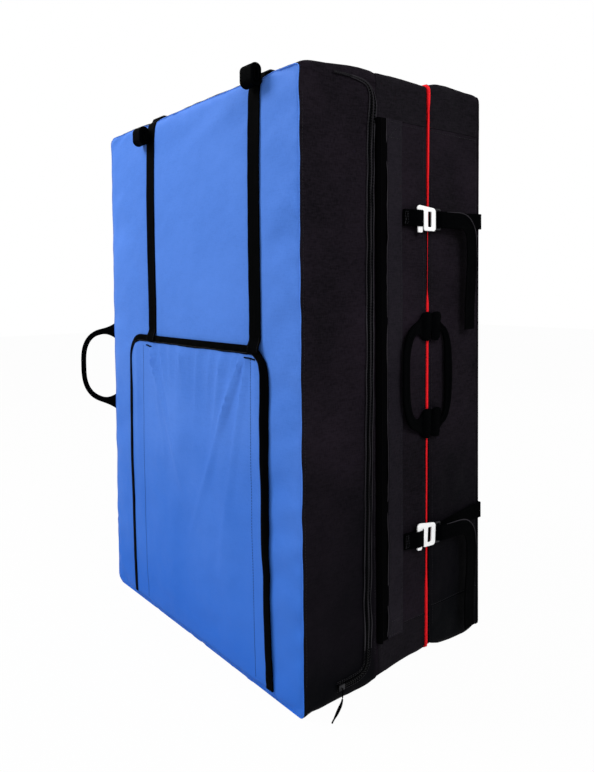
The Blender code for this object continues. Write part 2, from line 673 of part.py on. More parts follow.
def catch_loop(name, height, web):
    """Webbing sewn to the middle slab that goes round the hook's front bar and back on itself."""
    behind = HALF_WIDTH + CLEARANCE + WEB_THICKNESS / 2
    ahead = HALF_WIDTH + HOOK_STAND + HOOK_PLATE / 2 + CLEARANCE + WEB_THICKNESS / 2
    radius = (ahead - behind) / 2
    bar = FRONT_Y + HOOK_PIVOT_DEPTH + HOOK_COLUMNS[-1] / 2 - sum(HOOK_COLUMNS) + HOOK_COLUMNS[0]
    start = FRONT_Y + CATCH_START
    path = [(behind, start), (behind, bar)]
    turn = arc((0, 0), radius, -90, 90, WRAP_STEPS)[1:]
    path += [(behind + radius + out, bar + back) for back, out in turn]
    fold = bar - HOOK_COLUMNS[0] - 2 * WEB_THICKNESS
    lying = behind + WEB_THICKNESS + CLEARANCE
    path += [(ahead, fold), (lying, (fold + start) / 2), (lying, start + WEB_THICKNESS)]
    points = [(x, y, height) for x, y in path]
    sweep("catch_loop_" + name, points, Z, flat(WEB_WIDTH, WEB_THICKNESS), web)


def rear_strap(name, height, rise, tail, web):
    """From the rear slab's back, loosely round its edge, through the hook and down as a hanging tail."""
    pivot = Vector((HALF_WIDTH + HOOK_STAND, FRONT_Y + HOOK_PIVOT_DEPTH))
    lying = HALF_WIDTH + CLEARANCE + WEB_THICKNESS / 2
    radius = pivot.x - lying
    inner = HALF_WIDTH - REAR_STRAP_ANCHOR
    back = REAR_BACK_Y + crown_at(inner, height, BACK_CROWN) + CLEARANCE + WEB_THICKNESS / 2
    path = [(inner, back, height + rise), (HALF_WIDTH - CORNER_LOOP, back, height + rise)]
    for u, v in CORNER_LOOP_SHARES:
        path.append((HALF_WIDTH + u * CORNER_LOOP, REAR_BACK_Y + v * CORNER_LOOP, height + rise))
    path.append((lying, REAR_BACK_Y - CORNER_LOOP_RUN, height + rise * SLOPE_SHARE))
    for i in range(WRAP_STEPS + 1):
        angle = math.radians(-180 * i / WRAP_STEPS)
        path.append((pivot.x - radius * math.cos(angle), pivot.y + radius * math.sin(angle), height))
    across = [Z] * len(path)
    outer = pivot.x + radius
    reach = FRONT_Y + TAIL_REACH - pivot.y
    for along, out, down, turn in TAIL_SHARES:
        angle = math.radians(turn)
        path.append((outer + TAIL_BOW * out, pivot.y + reach * along, height - reach * down))
        across.append(Z * math.cos(angle) + Y * math.sin(angle))
    last = path[-1][2]
    for i in range(1, TAIL_STEPS + 1):
        share = i / TAIL_STEPS
        x = outer + TAIL_BOW * TAIL_SHARES[-1][1] * (1 - share)
        path.append((x, FRONT_Y + TAIL_REACH, last + (height - tail - last) * share))
        across.append(Y)
    sweep("rear_strap_" + name, path, across, flat(WEB_WIDTH, WEB_THICKNESS), web)


# Handles and harness


def handle(name, root, lean, heights, reach, widths, web):
    """A webbing loop sewn in at both ends. Lean turns it from +X about the upright axis through them."""
    top, span = heights
    wide, grip = widths
    root = Vector((*root, top - span / 2))
    out = Vector((math.cos(math.radians(lean)), math.sin(math.radians(lean)), 0))
    sewn = root - out * CLEARANCE
    path = [sewn + Z * span / 2]
    profiles = [flat(wide, HANDLE_END_THICKNESS)]
    for i in range(HANDLE_STEPS + 1):
        angle = math.pi * i / HANDLE_STEPS
        share = max(0, math.sin(angle)) ** HANDLE_SQUARENESS
        up = math.copysign(abs(math.cos(angle)) ** HANDLE_SQUARENESS, math.cos(angle))
        path.append(root + out * (HANDLE_STRAIGHT + (reach - HANDLE_STRAIGHT) * share) + Z * span / 2 * up)
        end = max(0, 1 - share * HANDLE_TAPER) ** 2
        width = grip + (wide - grip) * end
        profiles.append(flat(width, HANDLE_THICKNESS - (HANDLE_THICKNESS - HANDLE_END_THICKNESS) * end))
    path.append(sewn - Z * span / 2)
    profiles.append(profiles[0])
    across = [forward.cross(out.cross(Z)) for forward in tangents(path, False)]
    sweep("handle_" + name, path, across, profiles, web, origin=root)


def shoulder_profile(share):
    """A padded strap's section, with rounded edges, narrower and thinner towards its ends."""
    swell = math.sin(math.pi * share)
    side = SHOULDER_WIDTH / 2 * (SHOULDER_END_SHARE + (1 - SHOULDER_END_SHARE) * swell)
    thick = SHOULDER_THICKNESS * (SHOULDER_END_SHARE + (1 - SHOULDER_END_SHARE) * swell)
    crest = side * SHOULDER_CREST_SHARE
    edge = thick * SHOULDER_EDGE_SHARE
    return [(-side, 0), (side, 0), (side, edge), (crest, thick), (-crest, thick), (-side, edge)]


def harness(cloth, web):
    y = REAR_BACK_Y + BACK_CROWN + CLEARANCE
    half = YOKE_WIDTH / 2
    thick = YOKE_THICKNESS
    back = REAR_BACK_Y + crown_at(0, SHOULDER_TOP, BACK_CROWN) + CLEARANCE + thick / 2
    middle = SHOULDER_TOP + YOKE_GAP + YOKE_HEIGHT / 2
    sweep("harness_yoke", [(-half, back, middle), (half, back, middle)], Z, flat(YOKE_HEIGHT, thick), cloth)
    for name, side in (("right", 1), ("left", -1)):
        path = []
        for i in range(SHOULDER_STEPS + 1):
            share = i / SHOULDER_STEPS
            x = SHOULDER_SPREAD + SHOULDER_SWAY * math.sin(math.pi * share) + SHOULDER_SWAY * share
            path.append((side * x, y, SHOULDER_TOP + (SHOULDER_BOTTOM - SHOULDER_TOP) * share))
        profiles = [shoulder_profile(i / SHOULDER_STEPS) for i in range(SHOULDER_STEPS + 1)]
        sweep(f"shoulder_pad_{name}", path, X, profiles, cloth)
        start = Vector((side * (SHOULDER_SPREAD + SHOULDER_SWAY), y + WEB_THICKNESS / 2, SHOULDER_BOTTOM))
        end = Vector((side * LOWER_WEB_SPREAD, y + WEB_THICKNESS / 2, LOWER_WEB_END))
        down = (end - start).normalized()
        start += down * WEB_WIDTH / 2
        sweep(f"harness_web_{name}", [start, end], down.cross(Y), flat(WEB_WIDTH, WEB_THICKNESS), web)


def main():
    for old in list(bpy.data.objects):
        bpy.data.objects.remove(old, do_unlink=True)

    blue = material("blue_cloth", (0.055, 0.16, 0.62), 0.7)
    black = material("black_cloth", (0.012, 0.011, 0.014), 0.75)
    cap = material("end_cap_cloth", (0.007, 0.007, 0.009), 0.7)
    red = material("red_cloth", (0.62, 0.012, 0.02), 0.65)
    webbing = material("webbing", (0.004, 0.004, 0.004), 0.6)
    closed_foam = material("closed_cell_foam", (0.06, 0.06, 0.07), 0.9)
    core_foam = material("core_foam", (0.55, 0.52, 0.36), 0.95)
    white_metal = material("white_hook_metal", (0.8, 0.81, 0.83), 0.35, 0.2)
    zip_metal = material("zip_metal", (0.05, 0.05, 0.055), 0.4, 0.8)
    plastic = material("buckle_plastic", (0.01, 0.01, 0.01), 0.45)
    foams = (closed_foam, core_foam)

    slab_layers("front", FRONT_Y, FRONT_BACK_Y, FRONT_CROWN, 0, blue, black, foams)
    slab_layers("middle", MIDDLE_Y, MIDDLE_BACK_Y, 0, LANDING_CROWN, black, red, foams)
    slab_layers("rear", REAR_Y, REAR_BACK_Y, LANDING_CROWN, BACK_CROWN, red, black, foams)
    front_band(black)
    panel_covers("middle", MIDDLE_Y, MIDDLE_BACK_Y, black, cap)
    panel_covers("rear", REAR_Y, REAR_BACK_Y, black, cap)
    zip_parts(webbing, zip_metal, webbing)
    middle_closure(webbing, webbing, black)
    hinge_leaves(black)
    for name, reach, sink, shift in (
        ("near", STRAP_REACH_NEAR, NEAR_ROLL_SINK, NEAR_ROLL_SHIFT),
        ("far", STRAP_REACH_FAR, FAR_ROLL_SINK, FAR_ROLL_SHIFT),
    ):
        front_strap(name, reach, webbing)
        strap_buckle(name, reach, plastic)
        strap_roll(name, reach, sink, shift, webbing)
    load_flap(blue, webbing)
    for name, height, rise, tail in HOOKS:
        hook(name, height, white_metal)
        catch_loop(name, height, webbing)
        rear_strap(name, height, rise, tail, webbing)
    for name, root, lean, heights, reach, widths in HANDLES:
        handle(name, root, lean, heights, reach, widths, webbing)
    harness(black, webbing)

    gap = gap_to_self(roll_points(), ROLL_STEPS + 2) - STRAP_THICKNESS
    print(f"roll of {ROLL_TURNS} turns: least gap to itself {1000 * gap:.2f} mm")


main()
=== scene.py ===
import math

import bmesh
import bpy
from mathutils import Matrix, Vector, noise
from mathutils.bvhtree import BVHTree


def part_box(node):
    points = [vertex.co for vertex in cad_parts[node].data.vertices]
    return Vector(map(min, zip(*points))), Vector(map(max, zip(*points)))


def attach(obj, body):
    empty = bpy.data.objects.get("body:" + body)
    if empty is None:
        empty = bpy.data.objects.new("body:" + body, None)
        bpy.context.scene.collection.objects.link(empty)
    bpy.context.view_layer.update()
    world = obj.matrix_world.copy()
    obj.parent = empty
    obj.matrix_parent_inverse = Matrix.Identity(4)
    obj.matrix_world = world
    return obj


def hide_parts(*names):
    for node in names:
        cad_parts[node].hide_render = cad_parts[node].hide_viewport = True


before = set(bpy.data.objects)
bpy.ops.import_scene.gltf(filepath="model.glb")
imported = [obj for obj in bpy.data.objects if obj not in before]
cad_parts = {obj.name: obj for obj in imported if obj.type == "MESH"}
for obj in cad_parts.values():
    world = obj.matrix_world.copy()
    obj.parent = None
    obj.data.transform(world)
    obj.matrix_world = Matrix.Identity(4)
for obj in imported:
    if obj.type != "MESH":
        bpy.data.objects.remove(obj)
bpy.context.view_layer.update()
scene = bpy.context.scene
scene.view_settings.view_transform = "Standard"

# The pad stands on one end: +X its right side, -Y its blue front, +Z up, all in metres
sideways = Vector((1, 0, 0))
backward = Vector((0, 1, 0))
upward = Vector((0, 0, 1))
halfWidth = 0.330
padHeight = 1.000
frontY = -0.216
panelX = 0.3312  # the right sides' cloth
strapWidth = 0.0315
webWidth = 0.028

cameraSettings = {
    "place": (1.1174, -0.8567, 0.6593),
    "turn": 51.145,
    "tip": 2.220,
    "roll": -0.477,
    "lens": 31.803,
    "shiftUp": -0.0930,
}


def addObject(name, data):
    made = bpy.data.objects.new(name, data)
    scene.collection.objects.link(made)
    return made


def makeCamera():
    s = cameraSettings
    turn, tip, roll = (math.radians(s[key]) for key in ("turn", "tip", "roll"))
    ahead = Vector((-math.sin(turn) * math.cos(tip), math.cos(turn) * math.cos(tip), -math.sin(tip)))
    level = ahead.cross(upward).normalized()
    lean = level * math.cos(roll) + level.cross(ahead) * math.sin(roll)
    head = lean.cross(ahead)
    data = bpy.data.cameras.new("camera")
    data.sensor_width = 36
    data.lens = s["lens"]
    data.shift_y = s["shiftUp"]
    made = addObject("camera", data)
    made.matrix_world = Matrix.Translation(s["place"]) @ Matrix((lean, head, -ahead)).transposed().to_4x4()
    scene.camera = made


makeCamera()
print("camera placed")


# Finishes

def addNode(tree, kind, sockets=None, **options):
    made = tree.nodes.new(kind)
    for key, value in options.items():
        setattr(made, key, value)
    for key, value in (sockets or {}).items():
        if isinstance(value, bpy.types.NodeSocket):
            tree.links.new(value, made.inputs[key])
        else:
            made.inputs[key].default_value = value
    return made


def calc(tree, operation, first, second=0.0):
    return addNode(tree, "ShaderNodeMath", {0: first, 1: second}, operation=operation).outputs[0]


def plus(tree, first, second):
    return calc(tree, "ADD", first, second)


def times(tree, first, second):
    return calc(tree, "MULTIPLY", first, second)


def spread(tree, value, low, high, newLow, newHigh):
    return addNode(tree, "ShaderNodeMapRange", {0: value, 1: low, 2: high, 3: newLow, 4: newHigh}).outputs[0]


def cloud(tree, place, scale, detail=2.0):
    return addNode(tree, "ShaderNodeTexNoise", {"Vector": place, "Scale": scale, "Detail": detail}).outputs[0]


def blendColour(tree, share, first, second):
    made = tree.nodes.new("ShaderNodeMix")
    made.data_type = "RGBA"
    for socket, value in ((made.inputs[0], share), (made.inputs[6], first), (made.inputs[7], second)):
        if isinstance(value, bpy.types.NodeSocket):
            tree.links.new(value, socket)
        elif socket == made.inputs[0]:
            socket.default_value = value
        else:
            socket.default_value = (*value, 1)
    return made.outputs[2]


def startFinish(name, rough, metal=0.0, shine=0.5):
    made = bpy.data.materials.new(name)
    made.use_nodes = True
    shader = made.node_tree.nodes["Principled BSDF"]
    for socket, value in (("Roughness", rough), ("Metallic", metal), ("Specular IOR Level", shine)):
        shader.inputs[socket].default_value = value
    return made, made.node_tree, shader


def endFinish(tree, shader, colour, rough, bump):
    bump = addNode(tree, "ShaderNodeBump", bump)
    for socket, value in (("Base Color", colour), ("Roughness", rough), ("Normal", bump.outputs[0])):
        tree.links.new(value, shader.inputs[socket])


def clothPlaces(tree):
    places = tree.nodes.new("ShaderNodeTexCoord")
    spot = addNode(tree, "ShaderNodeSeparateXYZ", {0: places.outputs["Object"]}).outputs
    facing = addNode(tree, "ShaderNodeSeparateXYZ", {0: places.outputs["Normal"]}).outputs
    found = []
    for normal, value in ((facing[0], spot[0]), (facing[2], spot[2])):
        away = calc(tree, "GREATER_THAN", calc(tree, "ABSOLUTE", normal), 0.62)
        found.append(plus(tree, value, times(tree, away, calc(tree, "SUBTRACT", spot[1], value))))
    return places.outputs["Object"], found[0], found[1], spot[1], spot[2]


def slubs(tree, along, up, pitch):
    lines = []
    for a, b in ((1.0, 0.16), (0.16, 1.0)):  # thick and thin threads, warp and weft
        spot = addNode(tree, "ShaderNodeCombineXYZ", {0: times(tree, along, a / pitch), 1: times(tree, up, b / pitch),
                                                      2: a * 9}).outputs[0]
        lines.append(cloud(tree, spot, 1.0))
    return times(tree, plus(tree, *lines), 0.5)


def threads(tree, along, up, pitch):
    return times(tree, *(calc(tree, "SINE", times(tree, value, 2 * math.pi / pitch)) for value in (along, up)))


def clothFinish(name, s):
    made, tree, shader = startFinish(name, s["rough"], 0.0, s["shine"])
    place, along, up, depth, height = clothPlaces(tree)
    weave = threads(tree, along, up, s["pitch"])
    slub = slubs(tree, along, up, s["slub"])
    fine = cloud(tree, place, s["fine"], 3.0)
    broad = cloud(tree, place, s["broad"], 4.0)
    shade = blendColour(tree, spread(tree, broad, 0.34, 0.66, 0.0, 1.0), s["dark"], s["pale"])
    speck = spread(tree, plus(tree, slub, times(tree, fine, 0.25)), 0.50, 0.74, 0.0, s["speck"])
    shade = blendColour(tree, speck, shade, s["thread"])
    hollow = spread(tree, slub, 0.34, 0.50, s["hollow"], 0.0)
    shade = blendColour(tree, hollow, shade, tuple(0.45 * value for value in s["dark"]))
    # Painted shade: towards the ground the colour darkens into the low colour, where less light falls, less so on the
    # middle slab
    handled = spread(tree, plus(tree, height, times(tree, broad, 0.3)), *s["handled"], 1.0, 0.0)
    inner = times(tree, spread(tree, depth, -0.066, -0.048, 0.0, 1.0), spread(tree, depth, 0.068, 0.080, 1.0, 0.0))
    handled = times(tree, handled, calc(tree, "SUBTRACT", s["shadeStrength"], times(tree, inner, s["spared"])))
    soft = addNode(tree, "ShaderNodeBump", {"Strength": 0.6, "Distance": s["rumpleDepth"],
                                            "Height": cloud(tree, place, s["rumple"])})
    relief = plus(tree, times(tree, weave, 0.4), times(tree, slub, 2.6))
    endFinish(tree, shader, blendColour(tree, handled, shade, s["low"]),
              spread(tree, fine, 0.3, 0.7, s["rough"] - 0.06, s["rough"] + 0.06),
              {"Strength": s["weaveBump"], "Distance": 0.0004, "Height": relief, "Normal": soft.outputs[0]})
    return made


def webFinish(name, s):
    made, tree, shader = startFinish(name, s["rough"], 0.0, s["shine"])
    places = tree.nodes.new("ShaderNodeTexCoord").outputs
    spot = addNode(tree, "ShaderNodeSeparateXYZ", {0: places["UV"]}).outputs
    zigzag = calc(tree, "PINGPONG", spot[0], s["herring"])
    ribs = calc(tree, "SINE", times(tree, plus(tree, spot[1], zigzag), 2 * math.pi / s["rib"]))
    lines = calc(tree, "SINE", times(tree, spot[0], 2 * math.pi / s["line"]))
    cords = plus(tree, times(tree, ribs, 0.7), times(tree, lines, 0.3))
    fuzz = cloud(tree, places["Object"], 900.0)
    worn = cloud(tree, places["Object"], 22.0)
    shade = blendColour(tree, spread(tree, cords, -1.0, 1.0, 0.0, 1.0), s["dark"], s["pale"])
    endFinish(tree, shader, blendColour(tree, spread(tree, worn, 0.55, 0.8, 0.0, 0.5), shade, s["worn"]),
              spread(tree, fuzz, 0.3, 0.7, s["rough"] - 0.08, s["rough"] + 0.08),
              {"Strength": 0.5, "Distance": 0.0004, "Height": plus(tree, cords, times(tree, fuzz, 0.4))})
    return made


def grainFinish(name, s):
    made, tree, shader = startFinish(name, s["rough"], s.get("metal", 0.0), s.get("shine", 0.5))
    place = tree.nodes.new("ShaderNodeTexCoord").outputs["Object"]
    grain = cloud(tree, place, s["grain"], 4.0)
    patch = cloud(tree, place, s["patch"], 3.0)
    endFinish(tree, shader, blendColour(tree, spread(tree, patch, 0.35, 0.75, 0.0, 1.0), s["dark"], s["pale"]),
              spread(tree, patch, 0.3, 0.7, s["rough"] - 0.07, s["rough"] + 0.07),
              {"Strength": s["bump"], "Distance": 0.0003, "Height": grain})
    return made


def foamFinish(name, s):
    made, tree, shader = startFinish(name, 0.9)
    place = tree.nodes.new("ShaderNodeTexCoord").outputs["Object"]
    cells = addNode(tree, "ShaderNodeTexVoronoi", {"Vector": place, "Scale": s["cells"]}).outputs[0]
    endFinish(tree, shader, blendColour(tree, cells, s["pale"], s["dark"]), spread(tree, cells, 0.0, 1.0, 0.8, 1.0),
              {"Strength": 0.5, "Distance": 0.0006, "Height": cells})
    return made


# Each cloth's low colour is painted shade near the ground, faded in between the two given heights
blackWeave = {
    "dark": (0.0024, 0.0020, 0.0030), "pale": (0.0112, 0.0078, 0.0122), "thread": (0.0185, 0.0145, 0.0205),
    "low": (0.0012, 0.0015, 0.0021), "handled": (0.22, 0.58), "shadeStrength": 0.95, "spared": 0.75, "speck": 0.36,
    "hollow": 0.34, "rough": 0.66, "shine": 0.016, "pitch": 0.0014, "slub": 0.0015, "fine": 420.0, "broad": 4.5,
    "rumple": 15.0, "rumpleDepth": 0.012, "weaveBump": 0.3}
finishes = {
    "blue_cloth": clothFinish("blueCloth", {
        "dark": (0.070, 0.203, 0.680), "pale": (0.086, 0.232, 0.750), "thread": (0.104, 0.258, 0.780),
        "low": (0.029, 0.160, 0.668), "handled": (0.20, 0.64), "shadeStrength": 0.95, "spared": 0.0, "speck": 0.26,
        "hollow": 0.07, "rough": 0.6, "shine": 0.06, "pitch": 0.0013, "slub": 0.0015, "fine": 380.0, "broad": 5.0,
        "rumple": 11.0, "rumpleDepth": 0.008, "weaveBump": 0.2}),
    "black_cloth": clothFinish("blackPackCloth", blackWeave),
    "end_cap_cloth": clothFinish("endCapPackCloth", {
        **blackWeave, "dark": (0.0022, 0.0021, 0.0028), "pale": (0.0070, 0.0062, 0.0082)}),
    "red_cloth": clothFinish("redLandingCloth", {
        "dark": (0.72, 0.006, 0.012), "pale": (0.84, 0.009, 0.016), "thread": (0.90, 0.02, 0.028),
        "low": (0.70, 0.006, 0.012), "handled": (0.1, 0.5), "shadeStrength": 0.5, "spared": 0.0, "speck": 0.3,
        "hollow": 0.2, "rough": 0.7, "shine": 0.1, "pitch": 0.0016, "slub": 0.0022, "fine": 350.0, "broad": 6.0,
        "rumple": 14.0, "rumpleDepth": 0.003, "weaveBump": 0.3}),
    "webbing": webFinish("blackWebbing", {
        "dark": (0.0002, 0.0003, 0.0004), "pale": (0.0006, 0.0007, 0.0010), "worn": (0.0014, 0.0015, 0.0019),
        "rough": 0.62, "shine": 0.005, "herring": 0.006, "rib": 0.0022, "line": 0.0026}),
    "closed_cell_foam": foamFinish("closedCellFoam", {
        "dark": (0.03, 0.03, 0.035), "pale": (0.075, 0.075, 0.085), "cells": 900.0}),
    "core_foam": foamFinish("openCellFoam", {"dark": (0.36, 0.33, 0.2), "pale": (0.62, 0.58, 0.4), "cells": 450.0}),
    "white_hook_metal": grainFinish("whiteHookCoat", {
        "dark": (0.94, 0.945, 0.95), "pale": (0.98, 0.983, 0.985), "rough": 0.36, "grain": 1600.0,
        "patch": 90.0, "bump": 0.08}),
    "zip_metal": grainFinish("zipMetal", {
        "dark": (0.010, 0.010, 0.012), "pale": (0.030, 0.030, 0.034), "rough": 0.42, "metal": 0.8, "grain": 2200.0,
        "patch": 260.0, "bump": 0.12}),
    "buckle_plastic": grainFinish("bucklePlastic", {
        "dark": (0.0012, 0.0012, 0.0015), "pale": (0.0035, 0.0035, 0.004), "rough": 0.46, "shine": 0.08,
        "grain": 1400.0, "patch": 120.0, "bump": 0.16}),
}
# The black thread gets a pale tone as painted sheen, so stitch lines read as fine light lines
threadFinish = grainFinish("sewingThread", {
    "dark": (0.006, 0.006, 0.008), "pale": (0.026, 0.025, 0.029), "rough": 0.5, "shine": 0.1, "grain": 3000.0,
    "patch": 300.0, "bump": 0.3})
# The hook tape's own black, deepened to near nought as painted shade
fuzzAndShadeFinish = grainFinish("hookTapeFuzzAndShade", {
    "dark": (0.0003, 0.0003, 0.0004), "pale": (0.0012, 0.0012, 0.0016), "rough": 0.85, "shine": 0.01,
    "grain": 1500.0, "patch": 700.0, "bump": 0.9})
closureFinish = clothFinish("closurePackCloth", {
    **blackWeave, "dark": (0.0060, 0.0054, 0.0078), "pale": (0.0125, 0.0110, 0.0150), "handled": (0.02, 0.30)})
# Painted highlight: a much lighter copy of the black cloth for folded edges, standing for the light they catch
foldHighlightFinish = clothFinish("foldHighlightCloth", {
    **blackWeave, "dark": (0.020, 0.019, 0.022), "pale": (0.046, 0.044, 0.050), "handled": (0.02, 0.30)})
print("finishes made:", len(finishes) + 4)


# Making and placing pieces

def addMesh(name, points, faces):
    mesh = bpy.data.meshes.new(name)
    mesh.from_pydata([tuple(point) for point in points], [], faces)
    return mesh


def newPiece(name, points, faces, slot, body, replaces=(), sharp=50, uv=None, finish=None):
    mesh = addMesh(name, points, faces)
    edit = bmesh.new()
    edit.from_mesh(mesh)
    bmesh.ops.recalc_face_normals(edit, faces=edit.faces)
    edit.to_mesh(mesh)
    edit.free()
    if uv:
        layer = mesh.uv_layers.new(name="UVMap")
        for loop in mesh.loops:
            layer.data[loop.index].uv = uv[loop.vertex_index]
    mesh.shade_smooth()
    mesh.set_sharp_from_angle(angle=math.radians(sharp))
    mesh.materials.append(finish or finishes[slot])
    return place(addObject(name, mesh), slot, body, replaces)


def place(made, slot, body, replaces=()):
    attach(made, body)
    if replaces:
        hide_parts(*replaces)
    return made


def searchOf(*made):
    points, faces = [], []
    for piece in made:
        base = len(points)
        points += [vertex.co.copy() for vertex in piece.data.vertices]
        faces += [[base + i for i in face.vertices] for face in piece.data.polygons]
    return BVHTree.FromPolygons(points, faces)


def hitOn(tree, start, direction, lift):
    direction = Vector(direction).normalized()
    hit = tree.ray_cast(Vector(start), direction)[0]
    return hit - direction * lift if hit else None


def sideAt(slab, y, z, half, least=0.0):
    hits = [hitOn(search[slab], (0.4, y + side, z), -sideways, 0) for side in (-half, 0, half)]
    return max([hit.x for hit in hits if hit] + [least])


def ripple(a, b, c):
    return noise.noise(Vector((a, b, c)))


def each(value, count):
    return value if isinstance(value, list) else [value] * count


def smoothRun(points, step, extras=None):
    points = [Vector(point) for point in points]
    made, kept = [], []
    for i in range(len(points) - 1):
        a = points[max(i - 1, 0)]
        b, c = points[i], points[i + 1]
        d = points[min(i + 2, len(points) - 1)]
        count = max(1, round((c - b).length / step))
        for k in range(count):
            t = k / count
            made.append(((2 * b) + (c - a) * t + (2 * a - 5 * b + 4 * c - d) * t * t
                         + (3 * b - a - 3 * c + d) * t ** 3) / 2)
            if extras:
                kept.append(extras[i] * (1 - t) + extras[i + 1] * t)
    made.append(points[-1])
    return (made, kept + [extras[-1]]) if extras else made


def headings(points, closed=False):
    found = []
    count = len(points)
    for i in range(count):
        before = points[i - 1] if i or closed else points[0]
        after = points[(i + 1) % count] if i < count - 1 or closed else points[-1]
        found.append((after - before).normalized())
    return found


def ringFaces(size, rings, closed=False):
    faces = []
    for i in range(rings if closed else rings - 1):
        here, there = i * size, (i + 1) % rings * size
        faces += [(here + j, here + (j + 1) % size, there + (j + 1) % size, there + j) for j in range(size)]
    if not closed:
        faces += [tuple(range(size)), tuple(range((rings - 1) * size, rings * size))]
    return faces


def sheetFaces(columns, rows):  # two grids of points and the rim between them
    line, sheet = columns + 1, (columns + 1) * (rows + 1)
    faces = []
    for j in range(rows):
        for i in range(columns):
            c = j * line + i
            faces.append((c, c + 1, c + line + 1, c + line))
            faces.append((sheet + c, sheet + c + line, sheet + c + line + 1, sheet + c + 1))
    rim = list(range(line)) + [j * line + columns for j in range(1, rows + 1)]
    rim += [rows * line + i for i in range(columns - 1, -1, -1)] + [j * line for j in range(rows - 1, 0, -1)]
    return faces + [(p, q, q + sheet, p + sheet) for p, q in zip(rim, rim[1:] + rim[:1])], rim


bandSection = ((-1, 0.55), (-0.96, 0.9), (-0.86, 1.12), (-0.7, 0.94), (-0.35, 1), (0, 1), (0.35, 1), (0.7, 0.94),
               (0.86, 1.12), (0.96, 0.9), (1, 0.55))


def band(name, points, across, width, thick, slot, body, replaces=(), wavy=0.0005, seed=0.0, finish=None,
         section=bandSection):
    spans, widths, thicks = (each(value, len(points)) for value in (across, width, thick))
    ring = [(u, v) for u, v in section] + [(u, -v) for u, v in reversed(section)]
    corners, uv = [], []
    gone = 0.0
    for i, ahead in enumerate(headings(points)):
        if i:
            gone += (points[i] - points[i - 1]).length
        wide = (spans[i] - ahead * spans[i].dot(ahead)).normalized()
        out = wide.cross(ahead).normalized()
        for u, v in ring:
            sway = wavy * ripple(gone * 38, seed + (3.1 if u > 0 else 0), 0.5) * abs(u)
            lift = wavy * 0.5 * ripple(gone * 26, seed + 7.7, u * 0.8)
            corners.append(points[i] + wide * (u * widths[i] / 2 + sway) + out * (v * thicks[i] / 2 + lift))
            uv.append((u * widths[i] / 2, gone))
    return newPiece(name, corners, ringFaces(len(ring), len(points)), slot, body, replaces, 60, uv, finish)


def tube(name, points, radius, slot, body, replaces=(), sides=8, sharp=50, closed=False, finish=None):
    radii = each(radius, len(points))
    corners = []
    for i, ahead in enumerate(headings(points, closed)):
        guide = upward if abs(ahead.z) < 0.8 else backward
        a = ahead.cross(guide).normalized()
        b = a.cross(ahead)
        for k in range(sides):
            turn = 2 * math.pi * k / sides
            corners.append(points[i] + (a * math.cos(turn) + b * math.sin(turn)) * radii[i])
    return newPiece(name, corners, ringFaces(sides, len(points), closed), slot, body, replaces, sharp, None, finish)


stitchSettings = {"length": 0.0034, "gap": 0.0014, "radius": 0.00042}
stitchStore = {}


def sew(body, points, out, closed=False):
    s = stitchSettings
    corners, faces = stitchStore.setdefault(body, ([], []))
    run = points + [points[0]] if closed else points
    pitch = s["length"] + s["gap"]
    start, gone = 0.0, 0.0
    marks = []
    for i in range(len(run) - 1):
        leg = run[i + 1] - run[i]
        long = leg.length
        while start <= gone + long:
            t = (start - gone) / max(long, 1e-9)
            marks.append((run[i] + leg * t, leg.normalized()))
            start += pitch
        gone += long
    for spot, ahead in marks:
        wide = ahead.cross(out).normalized()
        base = len(corners)
        half = s["length"] / 2
        for along, size in ((-half, 0.25), (-half * 0.45, 1), (half * 0.45, 1), (half, 0.25)):
            for a, b in ((1, 0), (0, 1), (-1, 0), (0, -0.6)):
                corners.append(spot + ahead * along + (wide * a + out * b) * s["radius"] * size)
        for k in range(3):
            for j in range(4):
                here, beside = base + 4 * k + j, base + 4 * k + (j + 1) % 4
                faces.append((here, beside, beside + 4, here + 4))
        faces.append((base, base + 1, base + 2, base + 3))
        faces.append((base + 15, base + 14, base + 13, base + 12))


def sewnOn(tree, places, direction, body, lift=0.0003):
    found = [hitOn(tree, spot, direction, lift) for spot in places]
    found = [spot for spot in found if spot]
    if len(found) > 1:
        sew(body, found, -Vector(direction).normalized())


def crossedBox(a, b, c, d):
    return [(a, b), (c, b), (c, d), (a, d), (a, b), (c, d)]


# Slab covers: closed crowned forms, puffed by cloth simulation, then split at their seams

slabSettings = {
    "cell": 0.0145,
    "cornerRadius": (0.017, 0.009),
    "cornerCells": 3,
    "seamStrip": 0.006,
    "drawIn": 0.0008,
    "bulge": 0.0016,
    "crease": 0.88,
}
# Each slab's depths, how far its faces crown and swell, its cap seams' heights, and how its top and bottom
# rise from its front seam to its rear one, as pairs of a share of the depth and metres
slabs = {
    "front": {"low": -0.216, "high": -0.054, "crown": (0.0062, 0.0), "swell": (0.0022, 0.0), "side": 0.0028,
              "seams": (0.067, 0.933), "round": 0.0,
              "topRise": ((0, -0.0085), (0.037, -0.0006), (0.12, 0.0024), (0.32, 0.0070), (0.64, 0.0122),
                          (0.85, 0.0116), (0.97, 0.0076), (1, 0.0050)),
              "lowRise": ((0, 0.0), (0.8, 0.0), (0.95, 0.0030), (1, 0.0080))},
    "middle": {"low": -0.052, "high": 0.069, "crown": (0.0, 0.0022), "swell": (0.0, 0.0010), "side": 0.0026,
               "seams": (0.0755, 0.935), "round": 0.0012,
               "topRise": ((0, 0.0070), (0.25, 0.0100), (0.5, 0.0106), (0.85, 0.0100), (1, 0.0080)),
               "lowRise": ((0, 0.0060), (0.4, 0.0100), (0.9, 0.0145), (1, 0.0170))},
    "rear": {"low": 0.079, "high": 0.216, "crown": (0.0022, 0.0052), "swell": (0.0010, 0.0030), "side": 0.0030,
             "seams": (0.0835, 0.9345), "round": 0.0040,
             "topRise": ((0, 0.0110), (0.12, 0.0165), (0.3, 0.0190), (0.6, 0.0186), (0.9, 0.0176), (1, 0.0120)),
             "lowRise": ((0, 0.0170), (0.15, 0.0115), (0.38, 0.0055), (0.75, 0.0040), (1, 0.0100))},
}
strapPlaces = {"near": 0.2225, "far": -0.132}
